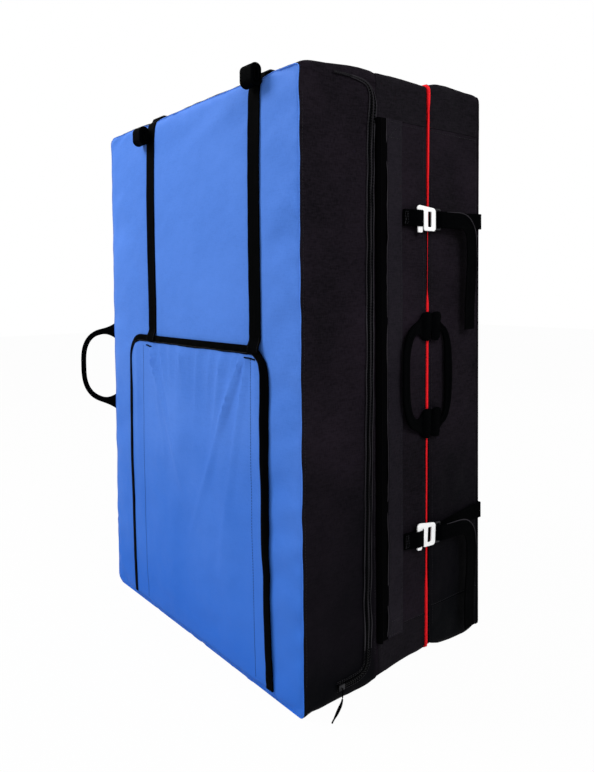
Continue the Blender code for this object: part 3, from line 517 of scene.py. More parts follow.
puffSettings = {"frames": 20, "cloth": {
    "quality": 5, "mass": 0.25, "tension_stiffness": 18, "compression_stiffness": 3, "shear_stiffness": 3,
    "bending_stiffness": 0.25, "air_damping": 2.0, "shrink_min": -0.016, "uniform_pressure_force": 3.5}}


def stops(edges, cell, corner):
    found = [edges[0]]
    for i, (a, b) in enumerate(zip(edges, edges[1:])):
        count = corner if i in (0, len(edges) - 2) else max(1, round((b - a) / cell))
        found += [a + (b - a) * k / count for k in range(1, count + 1)]
    return found


def between(pairs, value):
    for (a, b), (c, d) in zip(pairs, pairs[1:]):
        if value <= c:
            return b + (d - b) * max(0, value - a) / (c - a)
    return pairs[-1][1]


def roundedPlace(x, z, reach, rise, radius):
    dx, dz = abs(x) - (reach - radius), abs(z) - (rise - radius)
    if dx > 0 and dz > 0:
        share = max(dx, dz) / math.hypot(dx, dz)
        x = math.copysign(reach - radius + dx * share, x)
        z = math.copysign(rise - radius + dz * share, z)
    return x, z


def bell(value, width):
    return math.exp(-(value / width) ** 2)


def slabPlace(slab, x, z, share):
    s, own = slabSettings, slabs[slab]
    u, v = abs(x) / halfWidth, abs(z) / (padHeight / 2)
    crown = ((1 - u ** 4) * (1 - v ** 4)) ** 0.6
    px, pz = roundedPlace(x, z, halfWidth, padHeight / 2, s["cornerRadius"][x > 0])
    y = own["low"] + (own["high"] - own["low"]) * share
    if share in (0, 1):
        y = own["high"] + own["crown"][1] * crown if share else own["low"] - own["crown"][0] * crown
    out = s["bulge"] * 4 * share * (1 - share)
    px -= math.copysign(s["drawIn"] * (1 - v * v) - out, x) * u ** 10
    pz -= math.copysign(s["drawIn"] * (1 - u * u) - out, z) * v ** 10
    px -= math.copysign(own["round"] * max(0, 1 - share * (own["high"] - own["low"]) / 0.011) ** 2, x) * u ** 10
    lean = 0.5 + 0.5 * x / halfWidth
    if z > 0:
        rise = between(own["topRise"], share)
        pz += (rise * (0.45 + 0.55 * lean) if rise > 0 else rise) * v ** 12
    else:
        pz += between(own["lowRise"], share) * (0.25 + 0.75 * lean) * v ** 12
    if slab == "front" and z > 0:  # the straps press into the top edge and the face
        for strap in strapPlaces.values():
            pz -= 0.0036 * bell(x - strap, 0.030) * v ** 12 * (1 - share) ** 2
            if share == 0:
                y += 0.0020 * bell(x - strap, 0.026) * min(1, z * 8)
    return Vector((px, y, pz + padHeight / 2))


def slabGrid(slab):
    s, own = slabSettings, slabs[slab]
    left, right = s["cornerRadius"]
    rise = padHeight / 2
    lowSeam, highSeam = (height - rise for height in own["seams"])
    xs = stops([-halfWidth, left - halfWidth, halfWidth - right, halfWidth], s["cell"], s["cornerCells"])
    zs = stops([-rise, left - rise, lowSeam, highSeam, rise - left, rise], s["cell"], s["cornerCells"])
    depth = own["high"] - own["low"]
    ys = stops([0, s["seamStrip"], depth - s["seamStrip"], depth], s["cell"], 1)
    nx, nz, ny = len(xs) - 1, len(zs) - 1, len(ys) - 1
    index, points, seams = {}, [], set()
    for k in range(ny + 1):
        for j in range(nz + 1):
            for i in range(nx + 1):
                edge = i in (0, nx) or j in (0, nz)
                if k in (0, ny) or edge:
                    index[i, j, k] = len(points)
                    if k in (0, ny) and edge:
                        seams.add(len(points))
                    points.append(slabPlace(slab, xs[i], zs[j], 0 if k == 0 else 1 if k == ny else ys[k] / depth))
    faces, roles = [], []

    def addFace(role, *places):
        faces.append(tuple(index[key] for key in places))
        roles.append(role)

    for j in range(nz):
        for i in range(nx):
            addFace("face", (i, j, 0), (i + 1, j, 0), (i + 1, j + 1, 0), (i, j + 1, 0))
            addFace("back", (i, j, ny), (i, j + 1, ny), (i + 1, j + 1, ny), (i + 1, j, ny))
    for k in range(ny):
        for j in range(nz):
            middle = (zs[j] + zs[j + 1]) / 2
            for i, hand in ((0, "left"), (nx, "right")):
                role = hand if lowSeam < middle < highSeam else "top" if middle > 0 else "bottom"
                addFace(role, (i, j, k), (i, j + 1, k), (i, j + 1, k + 1), (i, j, k + 1))
        for i in range(nx):
            for j, end in ((0, "bottom"), (nz, "top")):
                addFace(end, (i, j, k), (i, j, k + 1), (i + 1, j, k + 1), (i + 1, j, k))
    return points, faces, roles, seams


def capMove(slab, start, moved):
    own = slabs[slab]
    middle = (own["low"] + own["high"]) / 2
    inward, slide = 0.0010, 0.0025
    x, y, z = moved - start
    depth = (own["high"] - own["low"]) / 2
    if abs(start.y - middle) > depth - 0.003:
        front = start.y < middle
        swell = own["swell"][0 if front else 1]
        y = max(-swell, min(inward, y)) if front else max(-inward, min(swell, y))
        x, z = (max(-slide, min(slide, value)) for value in (x, z))
        return start + Vector((x, y, z))
    side = own["side"]
    moves = []
    for value, spot, edge in ((x, start.x, halfWidth), (z, start.z - padHeight / 2, padHeight / 2)):
        hand = math.copysign(1, spot)
        outer = abs(spot) > edge - 0.012
        moves.append(hand * max(-inward, min(side, value * hand)) if outer else max(-slide, min(slide, value)))
    y = max(own["low"] + 0.002 - start.y, min(own["high"] - 0.002 - start.y, max(-slide, min(slide, y))))
    return start + Vector((moves[0], y, moves[1]))


def puff(jobs):
    s = puffSettings
    made = []
    for name, points, faces, pinned in jobs:
        piece = addObject(name, addMesh(name, points, faces))
        piece.vertex_groups.new(name="seams").add(sorted(pinned), 1.0, "REPLACE")
        cloth = piece.modifiers.new("cloth", "CLOTH")
        for key, value in s["cloth"].items():
            setattr(cloth.settings, key, value)
        cloth.settings.use_pressure = True
        cloth.settings.effector_weights.gravity = 0
        cloth.settings.vertex_group_mass = "seams"
        cloth.point_cache.frame_start = 1
        cloth.point_cache.frame_end = s["frames"]
        made.append(piece)
    scene.frame_start, scene.frame_end = 1, s["frames"]
    for step in range(1, s["frames"] + 1):
        scene.frame_set(step)
    graph = bpy.context.evaluated_depsgraph_get()
    results = [[vertex.co.copy() for vertex in piece.evaluated_get(graph).data.vertices] for piece in made]
    for piece in made:
        mesh = piece.data
        bpy.data.objects.remove(piece)
        bpy.data.meshes.remove(mesh)
    scene.frame_set(1)
    return results


def edgeOwners(mesh):
    owners = {}
    for face in mesh.polygons:
        for key in face.edge_keys:
            owners.setdefault(key, set()).add(face.material_index)
    return owners


def refined(name, points, faces, roles):
    mesh = addMesh(name, points, faces)
    for role in slabRoles:
        mesh.materials.append(None)
    for face, role in zip(mesh.polygons, roles):
        face.material_index = slabRoles.index(role)
    owners = edgeOwners(mesh)
    sharp = mesh.attributes.new("crease_edge", "FLOAT", "EDGE")
    for edge in mesh.edges:
        if len(owners[edge.key]) > 1:
            sharp.data[edge.index].value = slabSettings["crease"]
    piece = addObject(name, mesh)
    smooth = piece.modifiers.new("smooth", "SUBSURF")
    smooth.levels = smooth.render_levels = 1
    done = bpy.data.meshes.new_from_object(piece.evaluated_get(bpy.context.evaluated_depsgraph_get()))
    bpy.data.objects.remove(piece)
    bpy.data.meshes.remove(mesh)
    return done


def seamRun(mesh, first, others):  # the points along the seam between two parts of a cover
    first, others = slabRoles.index(first), {slabRoles.index(role) for role in others}
    near = {}
    for (a, b), found in edgeOwners(mesh).items():
        if first in found and found & others:
            near.setdefault(a, []).append(b)
            near.setdefault(b, []).append(a)
    if not near:
        return []
    start = min((key for key in near if len(near[key]) == 1), default=min(near))
    run, before = [start], None
    while len(run) <= len(near):
        ahead = [spot for spot in near[run[-1]] if spot != before and (spot not in run[-3:])]
        if not ahead or ahead[0] == start:
            break
        before = run[-1]
        run.append(ahead[0])
    return [mesh.vertices[i].co.copy() for i in run]


def puckered(mesh, slab):
    own = slabs[slab]
    normals = [vertex.normal.copy() for vertex in mesh.vertices]
    for vertex, normal in zip(mesh.vertices, normals):
        p = vertex.co
        rim = min(halfWidth - abs(p.x), 0.5 - abs(p.z - 0.5))
        ends = min(p.y - own["low"], own["high"] - p.y)
        facing = abs(normal.y)
        if facing < 0.6:  # side panels and caps: short creases from the seams, and long soft ones
            along = p.z if abs(normal.x) > 0.6 else p.x
            short = ripple(along * 46, p.y * 9, 2.0) * bell(ends, 0.022) * 0.0011
            long = ripple(along * 11, p.y * 15, 5.0) * 0.0011
            inward = ripple(along * 24, p.y * 30, 9.0) * 0.0007
            if slab == "front" and normal.x > 0.6:  # one drawn crease below the zip's upper turn
                share = min(1, max(0, (0.945 - p.z) / 0.10))
                inward += 0.0036 * bell(p.y + 0.066 + 0.050 * share ** 0.8, 0.0045) * bell(share - 0.35, 0.5)
            vertex.co = p + normal * (short + long + inward)
        elif own["swell"][0 if normal.y < 0 else 1]:
            pull = ripple(p.x * 30 + p.z * 8, p.z * 24, 3.0) * bell(rim, 0.028) * 0.0017
            slow = ripple(p.x * 7 + p.z * 3, p.z * 4, 8.0) * 0.0018 * min(1, rim / 0.05)
            drag = ripple(p.x * 5 + p.z * 4, p.z * 21 - p.x * 7, 1.0) * 0.0030 * bell(rim - 0.045, 0.035)
            gain = 1 if slab == "front" or normal.y > 0 else 0.4
            if slab == "front":
                gain *= min(1, p.z / 0.05)
            vertex.co = p + normal * (pull + slow + drag) * gain
    mesh.update()


slabRoles = ["face", "back", "right", "left", "top", "bottom"]


def coverRows(slab, face, back):  # each part of a cover: its name, its roles, its cloth and its node
    rows = [(slab + "Face", ("face",), face, (slab + "_face_sheet",))]
    if slab == "front":
        rows.append(("frontSideBand", ("right", "left", "top", "bottom"), "black_cloth", ("front_side_band",)))
    else:
        for kind, cloth, sides in (("panel", "black_cloth", ("right", "left")),
                                   ("cap", "end_cap_cloth", ("top", "bottom"))):
            rows += [(slab + side.title() + kind.title(), (side,), cloth, (f"{slab}_{side}_{kind}",)) for side in sides]
    return rows + [(slab + "Back", ("back",), back, (slab + "_back_sheet",))]


coverPlan = {
    "front": coverRows("front", "blue_cloth", "black_cloth"),
    "middle": coverRows("middle", "black_cloth", "red_cloth"),
    "rear": coverRows("rear", "red_cloth", "black_cloth"),
}


def subset(mesh, wanted):
    keep, spots, faces = [], {}, []
    for face in mesh.polygons:
        if face.material_index in wanted:
            for i in face.vertices:
                if i not in spots:
                    spots[i] = len(keep)
                    keep.append(mesh.vertices[i].co.copy())
            faces.append(tuple(spots[i] for i in face.vertices))
    return keep, faces


def makeSlabs():
    grids = {slab: slabGrid(slab) for slab in slabs}
    results = puff([(slab + "Puff", grid[0], grid[1], grid[3]) for slab, grid in grids.items()])
    found = {}
    for (slab, (points, faces, roles, seams)), moved in zip(grids.items(), results):
        mesh = refined(slab + "Cover", [capMove(slab, a, b) for a, b in zip(points, moved)], faces, roles)
        puckered(mesh, slab)
        for name, wanted, slot, nodes in coverPlan[slab]:
            part, cells = subset(mesh, {slabRoles.index(role) for role in wanted})
            found[name] = newPiece(name, part, cells, slot, "slab_" + slab, nodes, 40)
        coverMeshes[slab] = mesh
    return found


coverMeshes = {}
covers = makeSlabs()
print("slab covers made:", sorted(covers))

foamSettings = {"inset": 0.0080, "closedCell": 0.020, "gap": 0.0004, "cells": (12, 18), "corner": 0.02,
                "lift": {"front": 0.0, "middle": 0.014, "rear": 0.014}}


def makeFoams():
    s = foamSettings
    wide, tall = s["cells"]
    reach, rise = halfWidth - s["inset"], 0.5 - s["inset"]
    for slab, own in slabs.items():
        low, high = own["low"] + s["inset"], own["high"] - s["inset"]
        cuts = ((low, low + s["closedCell"], "face_foam", "closed_cell_foam"),
                (low + s["closedCell"] + s["gap"], high - s["closedCell"] - s["gap"], "core_foam", "core_foam"),
                (high - s["closedCell"], high, "back_foam", "closed_cell_foam"))
        for front, back, part, slot in cuts:
            points = []
            for y in (front, back):
                for j in range(tall + 1):
                    for i in range(wide + 1):
                        x, z = roundedPlace((2 * i / wide - 1) * reach, (2 * j / tall - 1) * rise, reach, rise,
                                            s["corner"])
                        points.append((x, y, z + 0.5 + s["lift"][slab] * (1 - j / tall)))
            made = newPiece(slab + part.title().replace("_", ""), points, sheetFaces(wide, tall)[0], slot,
                            "slab_" + slab, (f"{slab}_{part}",), 40)


makeFoams()
print("foam layers made")


# Seam welts and cap seams

weltSettings = {"black": 0.0015, "blue": 0.0010, "buried": 0.0009, "capSeam": 0.0011}
# The red landing cloth turns out along the middle slab's rear seam: its height and half thickness there
redTurn = ((0.00, 0.0022), (0.03, 0.0028), (0.12, 0.0027), (0.16, 0.0014), (0.40, 0.0017), (0.44, 0.0026),
           (0.63, 0.0026), (0.655, 0.0003), (0.74, 0.0004), (0.78, 0.0012), (0.88, 0.0019), (0.965, 0.0020),
           (0.985, 0.0034), (1.02, 0.0034))


def rearShadeBulge(height):  # the rear slab's front seam bulges behind the upper hook, its dark welt swelling there as painted shade over the gap
    return 0.0030 * bell(height - 0.705, 0.050)


def makeWelts():
    s = weltSettings
    for slab in slabs:
        mesh = coverMeshes[slab]
        for side in ("face", "back"):
            points = seamRun(mesh, side, ("right", "left", "top", "bottom"))
            radius, slot = s["black"] if slabs[slab]["swell"][side == "back"] else s["buried"], "end_cap_cloth"
            if (slab, side) == ("front", "face"):
                radius, slot = s["blue"], "blue_cloth"
            elif (slab, side) == ("rear", "face"):
                # The rear face's dark welt is thickened as painted shade over the gap's mouth
                radius = [0.0022 + rearShadeBulge(spot.z) for spot in points]
                points = [spot + Vector((0.0004, -rearShadeBulge(spot.z), 0)) if spot.x > 0 else spot for spot in points]
            elif (slab, side) == ("middle", "back"):
                radius, slot = [between(redTurn, spot.z) for spot in points], "red_cloth"
                points = [spot + Vector((0.0006, 0.0085 * (spot.z - 0.40), 0)) if spot.x > 0 else spot
                          for spot in points]
            tube(f"{slab}{side.title()}Welt", points, radius, slot, "slab_" + slab, closed=True)
        for end in ("top", "bottom"):
            for hand in ("right", "left"):
                points = seamRun(mesh, hand, (end,)) if slab != "front" else []
                if len(points) > 2:
                    tube(f"{slab}{end.title()}{hand.title()}Seam", points, s["capSeam"], "end_cap_cloth",
                         "slab_" + slab, sides=6)


makeWelts()


def declareSheets():
    for slab, own in slabs.items():
        if slab == "front":
            continue


declareSheets()
search = {slab: searchOf(*(covers[name] for name, *rest in coverPlan[slab])) for slab in slabs}
print("welts and seams made")


# Load flap with its binding

flapSettings = {"half": 0.244, "centre": 0.014, "low": 0.0130, "high": 0.565, "corner": 0.048, "cell": 0.0075,
                "thick": 0.0012, "gap": 0.0004}
# Each fold: where it starts at the top edge, its lean, width, height, and how far down it fades
flapFolds = ((-0.215, 0.02, 0.009, 0.0034, 0.50), (-0.160, 0.26, 0.0050, 0.0066, 0.30),
             (-0.146, 0.12, 0.0045, 0.0050, 0.24), (-0.112, 0.16, 0.0050, 0.0040, 0.22),
             (-0.070, 0.03, 0.009, 0.0026, 0.20), (-0.030, 0.10, 0.0045, 0.0036, 0.12),
             (0.000, 0.02, 0.0045, 0.0034, 0.10), (0.040, -0.06, 0.006, 0.0036, 0.20),
             (0.085, -0.10, 0.0045, 0.0032, 0.14), (0.125, -0.14, 0.005, 0.0034, 0.24),
             (0.160, -0.16, 0.0045, 0.0040, 0.16), (0.184, -0.28, 0.0050, 0.0064, 0.34),
             (0.194, -0.13, 0.0045, 0.0046, 0.40), (0.212, 0.03, 0.007, 0.0030, 0.40),
             (0.228, 0.02, 0.005, 0.0030, 0.60),
             (-0.02, -0.06, 0.020, 0.0034, 1.10), (0.11, 0.02, 0.016, 0.0030, 1.20))
flapHems = (-0.184, 0.199)  # two upright seams that stitch the flap's side hems


def flapLift(x, z):
    s = flapSettings
    down = (s["high"] - z) / (s["high"] - s["low"])
    lift = 0.0
    for start, lean, width, height, reach in flapFolds:
        spot = start + lean * down
        fade = min(1, down / 0.05) * bell(down, reach * 1.3)
        lift += height * bell(x - spot, width * (1 + down)) * fade
    for spot in flapHems:
        lift -= 0.0009 * bell(x - spot, 0.0035) * min(1, down / 0.04)
    hem = min(1, (z - s["low"]) / 0.05)
    slow = ripple(x * 9, z * 5, 4.4) * 0.0016 + ripple(x * 26, z * 14, 1.2) * 0.0005
    return (lift + (slow + 0.0012)) * (0.25 + 0.75 * max(0, hem))


def flapPlace(x, z):
    s = flapSettings
    hit = hitOn(search["front"], (s["centre"] + x, -0.3, max(z, 0.012)), backward, 0)
    y = min(hit.y, frontY) if hit else frontY
    return Vector((s["centre"] + x, y - s["gap"] - s["thick"] - max(0, flapLift(x, z)), z))


def makeFlap():
    s = flapSettings
    xs = stops([-s["half"], s["corner"] - s["half"], s["half"] - s["corner"], s["half"]], s["cell"], 7)
    zs = stops([s["low"], s["low"] + 0.02, s["high"] - s["corner"], s["high"]], s["cell"], 7)
    front = [flapPlace(*roundedPlace(x, z, s["half"], s["high"], s["corner"])) for z in zs for x in xs]
    columns = len(xs) - 1
    faces, rim = sheetFaces(columns, len(zs) - 1)
    made = newPiece("loadFlap", front + [spot + backward * s["thick"] for spot in front], faces, "blue_cloth",
                    "load_flap", ("load_flap",), 40)
    return made, [front[i] for i in rim[columns:] + [0]]


bindingSettings = {"right": 0.0170, "top": 0.0128, "left": 0.0095}
# Round the bound edge: a share of the binding's width inwards, negative on the far side, and how far it stands out
bindingSection = ((-0.70, 0.0018), (-0.35, 0.0021), (-0.09, 0.0021), (-0.0012, 0.0012), (-0.0016, 0.0),
                  (-0.0012, -0.0012), (0.10, -0.0015), (0.35, -0.0019), (0.8, -0.0018), (0.97, -0.0011), (1, -0.0004),
                  (0.6, -0.0002), (0.05, -0.0001), (0.0, 0.0005), (-0.05, 0.0010), (-0.42, 0.0012), (-0.70, 0.0013))


def makeBinding(edge):
    s = bindingSettings
    corners, uv, inner = [], [], []
    gone = 0.0
    own = searchOf(flap)
    for i, ahead in enumerate(headings(edge)):
        if i:
            gone += (edge[i] - edge[i - 1]).length
        inward = backward.cross(ahead).normalized()
        if inward.dot(Vector((flapSettings["centre"], edge[i].y, 0.28)) - edge[i]) < 0:
            inward = -inward
        out = ahead.cross(inward).normalized()
        if out.y < 0:
            out = -out
        wide = s["right"] * max(0, -inward.x) ** 2 + s["top"] * inward.z ** 2 + s["left"] * max(0, inward.x) ** 2
        if inward.x > 0.5:  # the far side's binding is pulled thin below the corner
            wide *= 1 - 0.45 * bell(edge[i].z - 0.515, 0.035)
        wide *= 1 + 0.10 * ripple(gone * 17, 2.0, 0.4)
        for share, depth in bindingSection:
            reach = share if abs(share) < 0.01 else abs(share) * wide
            wave = 0.0009 * ripple(gone * 30, 2.0, reach * 30) if reach > 0.006 else 0
            corner = edge[i] + inward * (reach + wave) + out * depth
            hit = hitOn(own, (corner.x, -0.3, corner.z), backward, 0) if share > 0.04 else None
            if hit:
                corner.y = hit.y + depth
            corners.append(corner)
            uv.append((reach, gone))
        seam = edge[i] + inward * wide * 0.82
        inner.append(hitOn(own, (seam.x, -0.3, seam.z), backward, 0.0021) or seam - backward * 0.0021)
    made = newPiece("flapBinding", corners, ringFaces(len(bindingSection), len(edge)), "webbing", "load_flap",
                    ("flap_binding",), 60, uv)
    sew("load_flap", inner, -backward)
    return made


def makeFlapSewing():
    s = flapSettings
    for k, spot in enumerate(flapHems):
        line = []
        for i in range(101):
            z = 0.020 + (0.545 - 0.020) * i / 100
            wave = 0.0016 * ripple(z * 14, k * 4.0, 2.0)
            line.append((s["centre"] + spot + wave, -0.3, z))
        sewnOn(flapSearch, line, backward, "load_flap", 0.0002)
    for x, z, lean in ((-0.142, 0.5450, 0.03), (0.214, 0.5455, 0.06)):  # bar tacks under the straps' feet
        line = [(x - 0.014 + 0.028 * i / 10, -0.3, z + lean * (0.5 - i / 10) * 0.03) for i in range(11)]
        line = [hitOn(flapSearch, spot, backward, 0.0004) for spot in line]
        tube("barTack" + ("Far" if x < 0 else "Near"), [spot for spot in line if spot], 0.0013, "webbing", "load_flap")


flap, flapEdge = makeFlap()
binding = makeBinding(flapEdge)
flapSearch = searchOf(flap, binding)
makeFlapSewing()
print("load flap made")


# Straps, buckles and rolled tails on the front

frontStrapSettings = {"thick": 0.0017, "lift": 0.0009, "foot": 0.5555, "head": 0.978, "bend": (-0.196, 0.980),
                      "tail": ((-0.2060, 0.0016), (-0.2020, 0.0036), (-0.1975, 0.0034), (-0.1950, 0.0006))}


def makeFrontStraps():
    s = frontStrapSettings
    for k, (name, x) in enumerate(strapPlaces.items()):
        path = []
        for i in range(43):
            z = s["foot"] + (s["head"] - s["foot"]) * i / 42
            hits = [hitOn(tree, (x + side, -0.3, z), backward, s["lift"]) for side in (-0.016, -0.008, 0, 0.008, 0.016)
                    for tree in (search["front"], flapSearch)]
            path.append(Vector((x, min(hit.y for hit in hits if hit), z)))
        centre = Vector((x, *s["bend"]))
        for turn in range(6, 91, 6):  # over the slab's top edge
            angle = math.radians(180 - turn)
            out = Vector((0, math.cos(angle), math.sin(angle)))
            hits = [hitOn(search["front"], centre + out * 0.08 + sideways * side, -out, s["lift"])
                    for side in (-0.014, 0, 0.014)]
            best = max(hits, key=lambda hit: (hit - centre).dot(out))
            path.append(Vector((x, best.y, best.z)))
        top = path[-1].z
        path = [spot for spot in path if spot.y < -0.2085 or spot.z < 0.99]
        path = smoothRun(path + [Vector((x, y, top + rise)) for y, rise in s["tail"]], 0.005)
        band(f"frontStrap{name.title()}", path, sideways, strapWidth, s["thick"], "webbing", "load_flap",
             (f"front_strap_{name}",), 0.0006, 3.3 * k)
        for edge in (-1, 1):
            shift = sideways * edge * (strapWidth / 2 - 0.003) - backward * 0.0013
            sew("load_flap", [spot + shift for spot in path[1:6]], -backward)


def outlineWith(corners, steps=5):
    found = []
    count = len(corners)
    for i, (x, y, radius) in enumerate(corners):
        here = Vector((x, y))
        before = (Vector(corners[i - 1][:2]) - here).normalized()
        after = (Vector(corners[(i + 1) % count][:2]) - here).normalized()
        half = before.angle(after) / 2
        cut = radius / math.tan(half)
        middle = here + (before + after).normalized() * radius / math.sin(half)
        a, b = here + before * cut - middle, here + after * cut - middle
        for k in range(steps + 1):
            found.append(middle + (a.lerp(b, k / steps)).normalized() * radius)
    return found


def platePiece(name, outlines, thick, soften, axes, corner, slot, body, replaces):
    data = bpy.data.curves.new(name + "Outline", "CURVE")
    data.dimensions = "2D"
    data.fill_mode = "BOTH"
    data.extrude = thick / 2 - soften
    data.bevel_depth = soften
    data.bevel_resolution = 3
    data.offset = -soften
    for outline in outlines:
        spline = data.splines.new("POLY")
        spline.points.add(len(outline) - 1)
        for point, (x, y) in zip(spline.points, outline):
            point.co = (x, y, 0, 1)
        spline.use_cyclic_u = True
    drawn = addObject(name + "Outline", data)
    mesh = bpy.data.meshes.new_from_object(drawn.evaluated_get(bpy.context.evaluated_depsgraph_get()))
    bpy.data.objects.remove(drawn)
    along, up, out = axes
    edit = bmesh.new()
    spots = [edit.verts.new(Vector(corner) + along * v.co.x + up * v.co.y + out * v.co.z) for v in mesh.vertices]
    for face in mesh.polygons:
        corners = [spots[i] for i in face.vertices]
        if not edit.faces.get(corners):
            edit.faces.new(corners)
    bmesh.ops.remove_doubles(edit, verts=edit.verts, dist=0.00001)
    edit.verts.index_update()
    points = [vertex.co.copy() for vertex in edit.verts]
    faces = [tuple(vertex.index for vertex in face.verts) for face in edit.faces]
    edit.free()
    return newPiece(name, points, faces, slot, body, replaces, 32)


def box(left, low, wide, tall, radius):
    return outlineWith([(x, y, radius) for x, y in ((left, low), (left + wide, low), (left + wide, low + tall),
                                                    (left, low + tall))])


buckleSettings = {"wide": 0.040, "tall": 0.024, "slots": (0.004, 0.014), "slotWide": 0.034, "slotTall": 0.006,
                  "thick": 0.0034, "soften": 0.0009, "edge": -0.202}


def makeBuckles():
    s = buckleSettings
    outlines = [box(0, 0, s["wide"], s["tall"], 0.003)]
    outlines += [box((s["wide"] - s["slotWide"]) / 2, low, s["slotWide"], s["slotTall"], 0.0015) for low in s["slots"]]
    for name, x in strapPlaces.items():
        seat = max(hitOn(search["front"], (x + side, y, 1.1), -upward, 0).z for side in (-0.02, 0, 0.02)
                   for y in (-0.200, -0.190, -0.180))
        platePiece(f"strapBuckle{name.title()}", outlines, s["thick"], s["soften"], (sideways, backward, upward),
                   (x - s["wide"] / 2, s["edge"], seat + 0.0018), "buckle_plastic", "slab_front",
                   (f"strap_buckle_{name}",))


rollSettings = {"turns": 4, "steps": 16, "pitch": 0.0023, "stretch": 0.0138, "core": 0.0018, "thick": 0.0021}


def makeRolls():
    s = rollSettings
    for k, (name, x) in enumerate(strapPlaces.items()):
        lowest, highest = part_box("strap_roll_" + name)
        middle = (lowest + highest) / 2
        path = []
        for half in range(2 * s["turns"]):
            side = 1 if half % 2 == 0 else -1
            for i in range(s["steps"] + 1):
                turn = (half + i / s["steps"]) / 2
                radius = s["core"] + s["pitch"] * turn + 0.0003 * math.sin(turn * 5 + k)
                angle = 2 * math.pi * turn
                path.append(middle + Vector((0.0010 * math.sin(turn * 2.4 + k), radius * math.cos(angle),
                                             radius * math.sin(angle) + side * s["stretch"] / 2)))
        thin = [spot for i, spot in enumerate(path) if i == 0 or (spot - path[i - 1]).length > 0.0002]
        band(f"strapRoll{name.title()}", thin, sideways, strapWidth, s["thick"], "webbing", "load_flap",
             (f"strap_roll_{name}",), 0.0004, 5 + k)


makeFrontStraps()
makeBuckles()
makeRolls()
print("front straps, buckles and rolls made")


# Zip of the front slab

zipSettings = {"x": 0.3308, "tape": 0.0150, "tooth": (0.0022, 0.0013, 0.0008), "pitch": 0.0021,
               "seams": (-0.0090, -0.0062, 0.0036, 0.0068), "folds": (-0.0078, 0.0014, 0.0078)}
zipPath = ((-0.146, 0.024), (-0.118, 0.024), (-0.098, 0.026), (-0.084, 0.035), (-0.0785, 0.055), (-0.0785, 0.120),
           (-0.0778, 0.200), (-0.0748, 0.350), (-0.0722, 0.480), (-0.0702, 0.650), (-0.0688, 0.800), (-0.0672, 0.900),
           (-0.0645, 0.930), (-0.0625, 0.952), (-0.0640, 0.971), (-0.0730, 0.9835), (-0.0900, 0.9885),
           (-0.1150, 0.9905), (-0.146, 0.9905))
pullPath = ((0.3357, -0.140, 0.024), (0.3375, -0.1418, 0.016), (0.3420, -0.1480, 0.0072), (0.3515, -0.1650, 0.0036),
            (0.3660, -0.1900, 0.0032))


def zipRun():
    found = []
    for spot in smoothRun([Vector((0, y, z)) for y, z in zipPath], 0.006):
        x = sideAt("front", spot.y, spot.z, 0.008, zipSettings["x"] - 0.0008)
        wave = 0.0014 * ripple(spot.z * 24, spot.y * 24, 6)
        found.append(Vector((x + 0.0003, spot.y + wave, spot.z)))
    return found


def makeTeeth(run):
    s = zipSettings
    long, wide, high = s["tooth"]
    corners, faces = [], []
    start, gone, hand = 0.0, 0.0, 1
    for a, b in zip(run, run[1:]):
        leg = b - a
        while start <= gone + leg.length:
            spot = a + leg * ((start - gone) / leg.length)
            ahead = leg.normalized()
            side = ahead.cross(sideways) * hand
            base = len(corners)
            corners += [spot + ahead * end + side * out + sideways * lift for end in (-wide / 2, wide / 2)
                        for out, lift in ((-0.0004, 0.0004), (-0.0002, high), (long * 0.8, high), (long, 0.0006))]
            faces += [(base, base + 1, base + 2, base + 3), (base + 7, base + 6, base + 5, base + 4)]
            faces += [(base + j, base + 4 + j, base + 4 + (j + 1) % 4, base + (j + 1) % 4) for j in range(4)]
            start += s["pitch"]
            hand = -hand
        gone += leg.length
    newPiece("frontZipTeeth", corners, faces, "buckle_plastic", "slab_front")


def makeZip():
    s = zipSettings
    run = zipRun()
    across = [ahead.cross(sideways) for ahead in headings(run)]
    widths = [s["tape"] * (1 - 0.62 * min(1, max(0, spot.z - 0.955) / 0.03)) for spot in run]
    for i in range(14):
        widths[-1 - i] *= 0.15 + 0.85 * i / 14
    band("frontZipTape", run, across, widths, 0.0007, "webbing", "slab_front", ("front_zip",), 0.0005, 1.5)
    makeTeeth(run)
    for side in s["seams"]:
        line = [spot + wide * (side * width / s["tape"] + 0.0008 * ripple(spot.z * 20, side * 900, 1))
                + sideways * 0.0006 for spot, wide, width in zip(run, across, widths)]
        sew("slab_front", line, sideways)
    for k, side in enumerate(s["folds"]):  # the tape's and cover's folded edges, wavy, lighter as painted highlight
        line = [spot + wide * (side * width / s["tape"] + 0.0014 * ripple(spot.z * 17, k * 5.0, 4))
                + sideways * (0.0004 + 0.0010 * ripple(spot.z * 23, k * 3.0, 9))
                for spot, wide, width in zip(run, across, widths)][16:-6]
        sizes = [0.0008 + 0.0006 * ripple(i * 0.13, k * 2.0, 0) for i in range(len(line))]
        tube(f"zipFold{k}", line, sizes, "black_cloth", "slab_front", (), 6, 60, finish=foldHighlightFinish)
    path = smoothRun(pullPath, 0.002)
    sizes = [0.0010 if i < 8 else 0.0013 + 0.0014 * math.sin(math.pi * min(1, (i - 8) / 20)) for i in range(len(path))]
    tube("zipPullCord", path, sizes, "webbing", "zip_puller", ("zip_puller",))


makeZip()
print("zip made")


# Closure of the middle slab: hook tape, zip under a wavy flap

closureSettings = {"low": 0.064, "high": 0.936, "tapeY": -0.03775, "tapeWide": 0.0175, "flapY": -0.0119,
                   "flapWide": 0.038, "rows": 110}


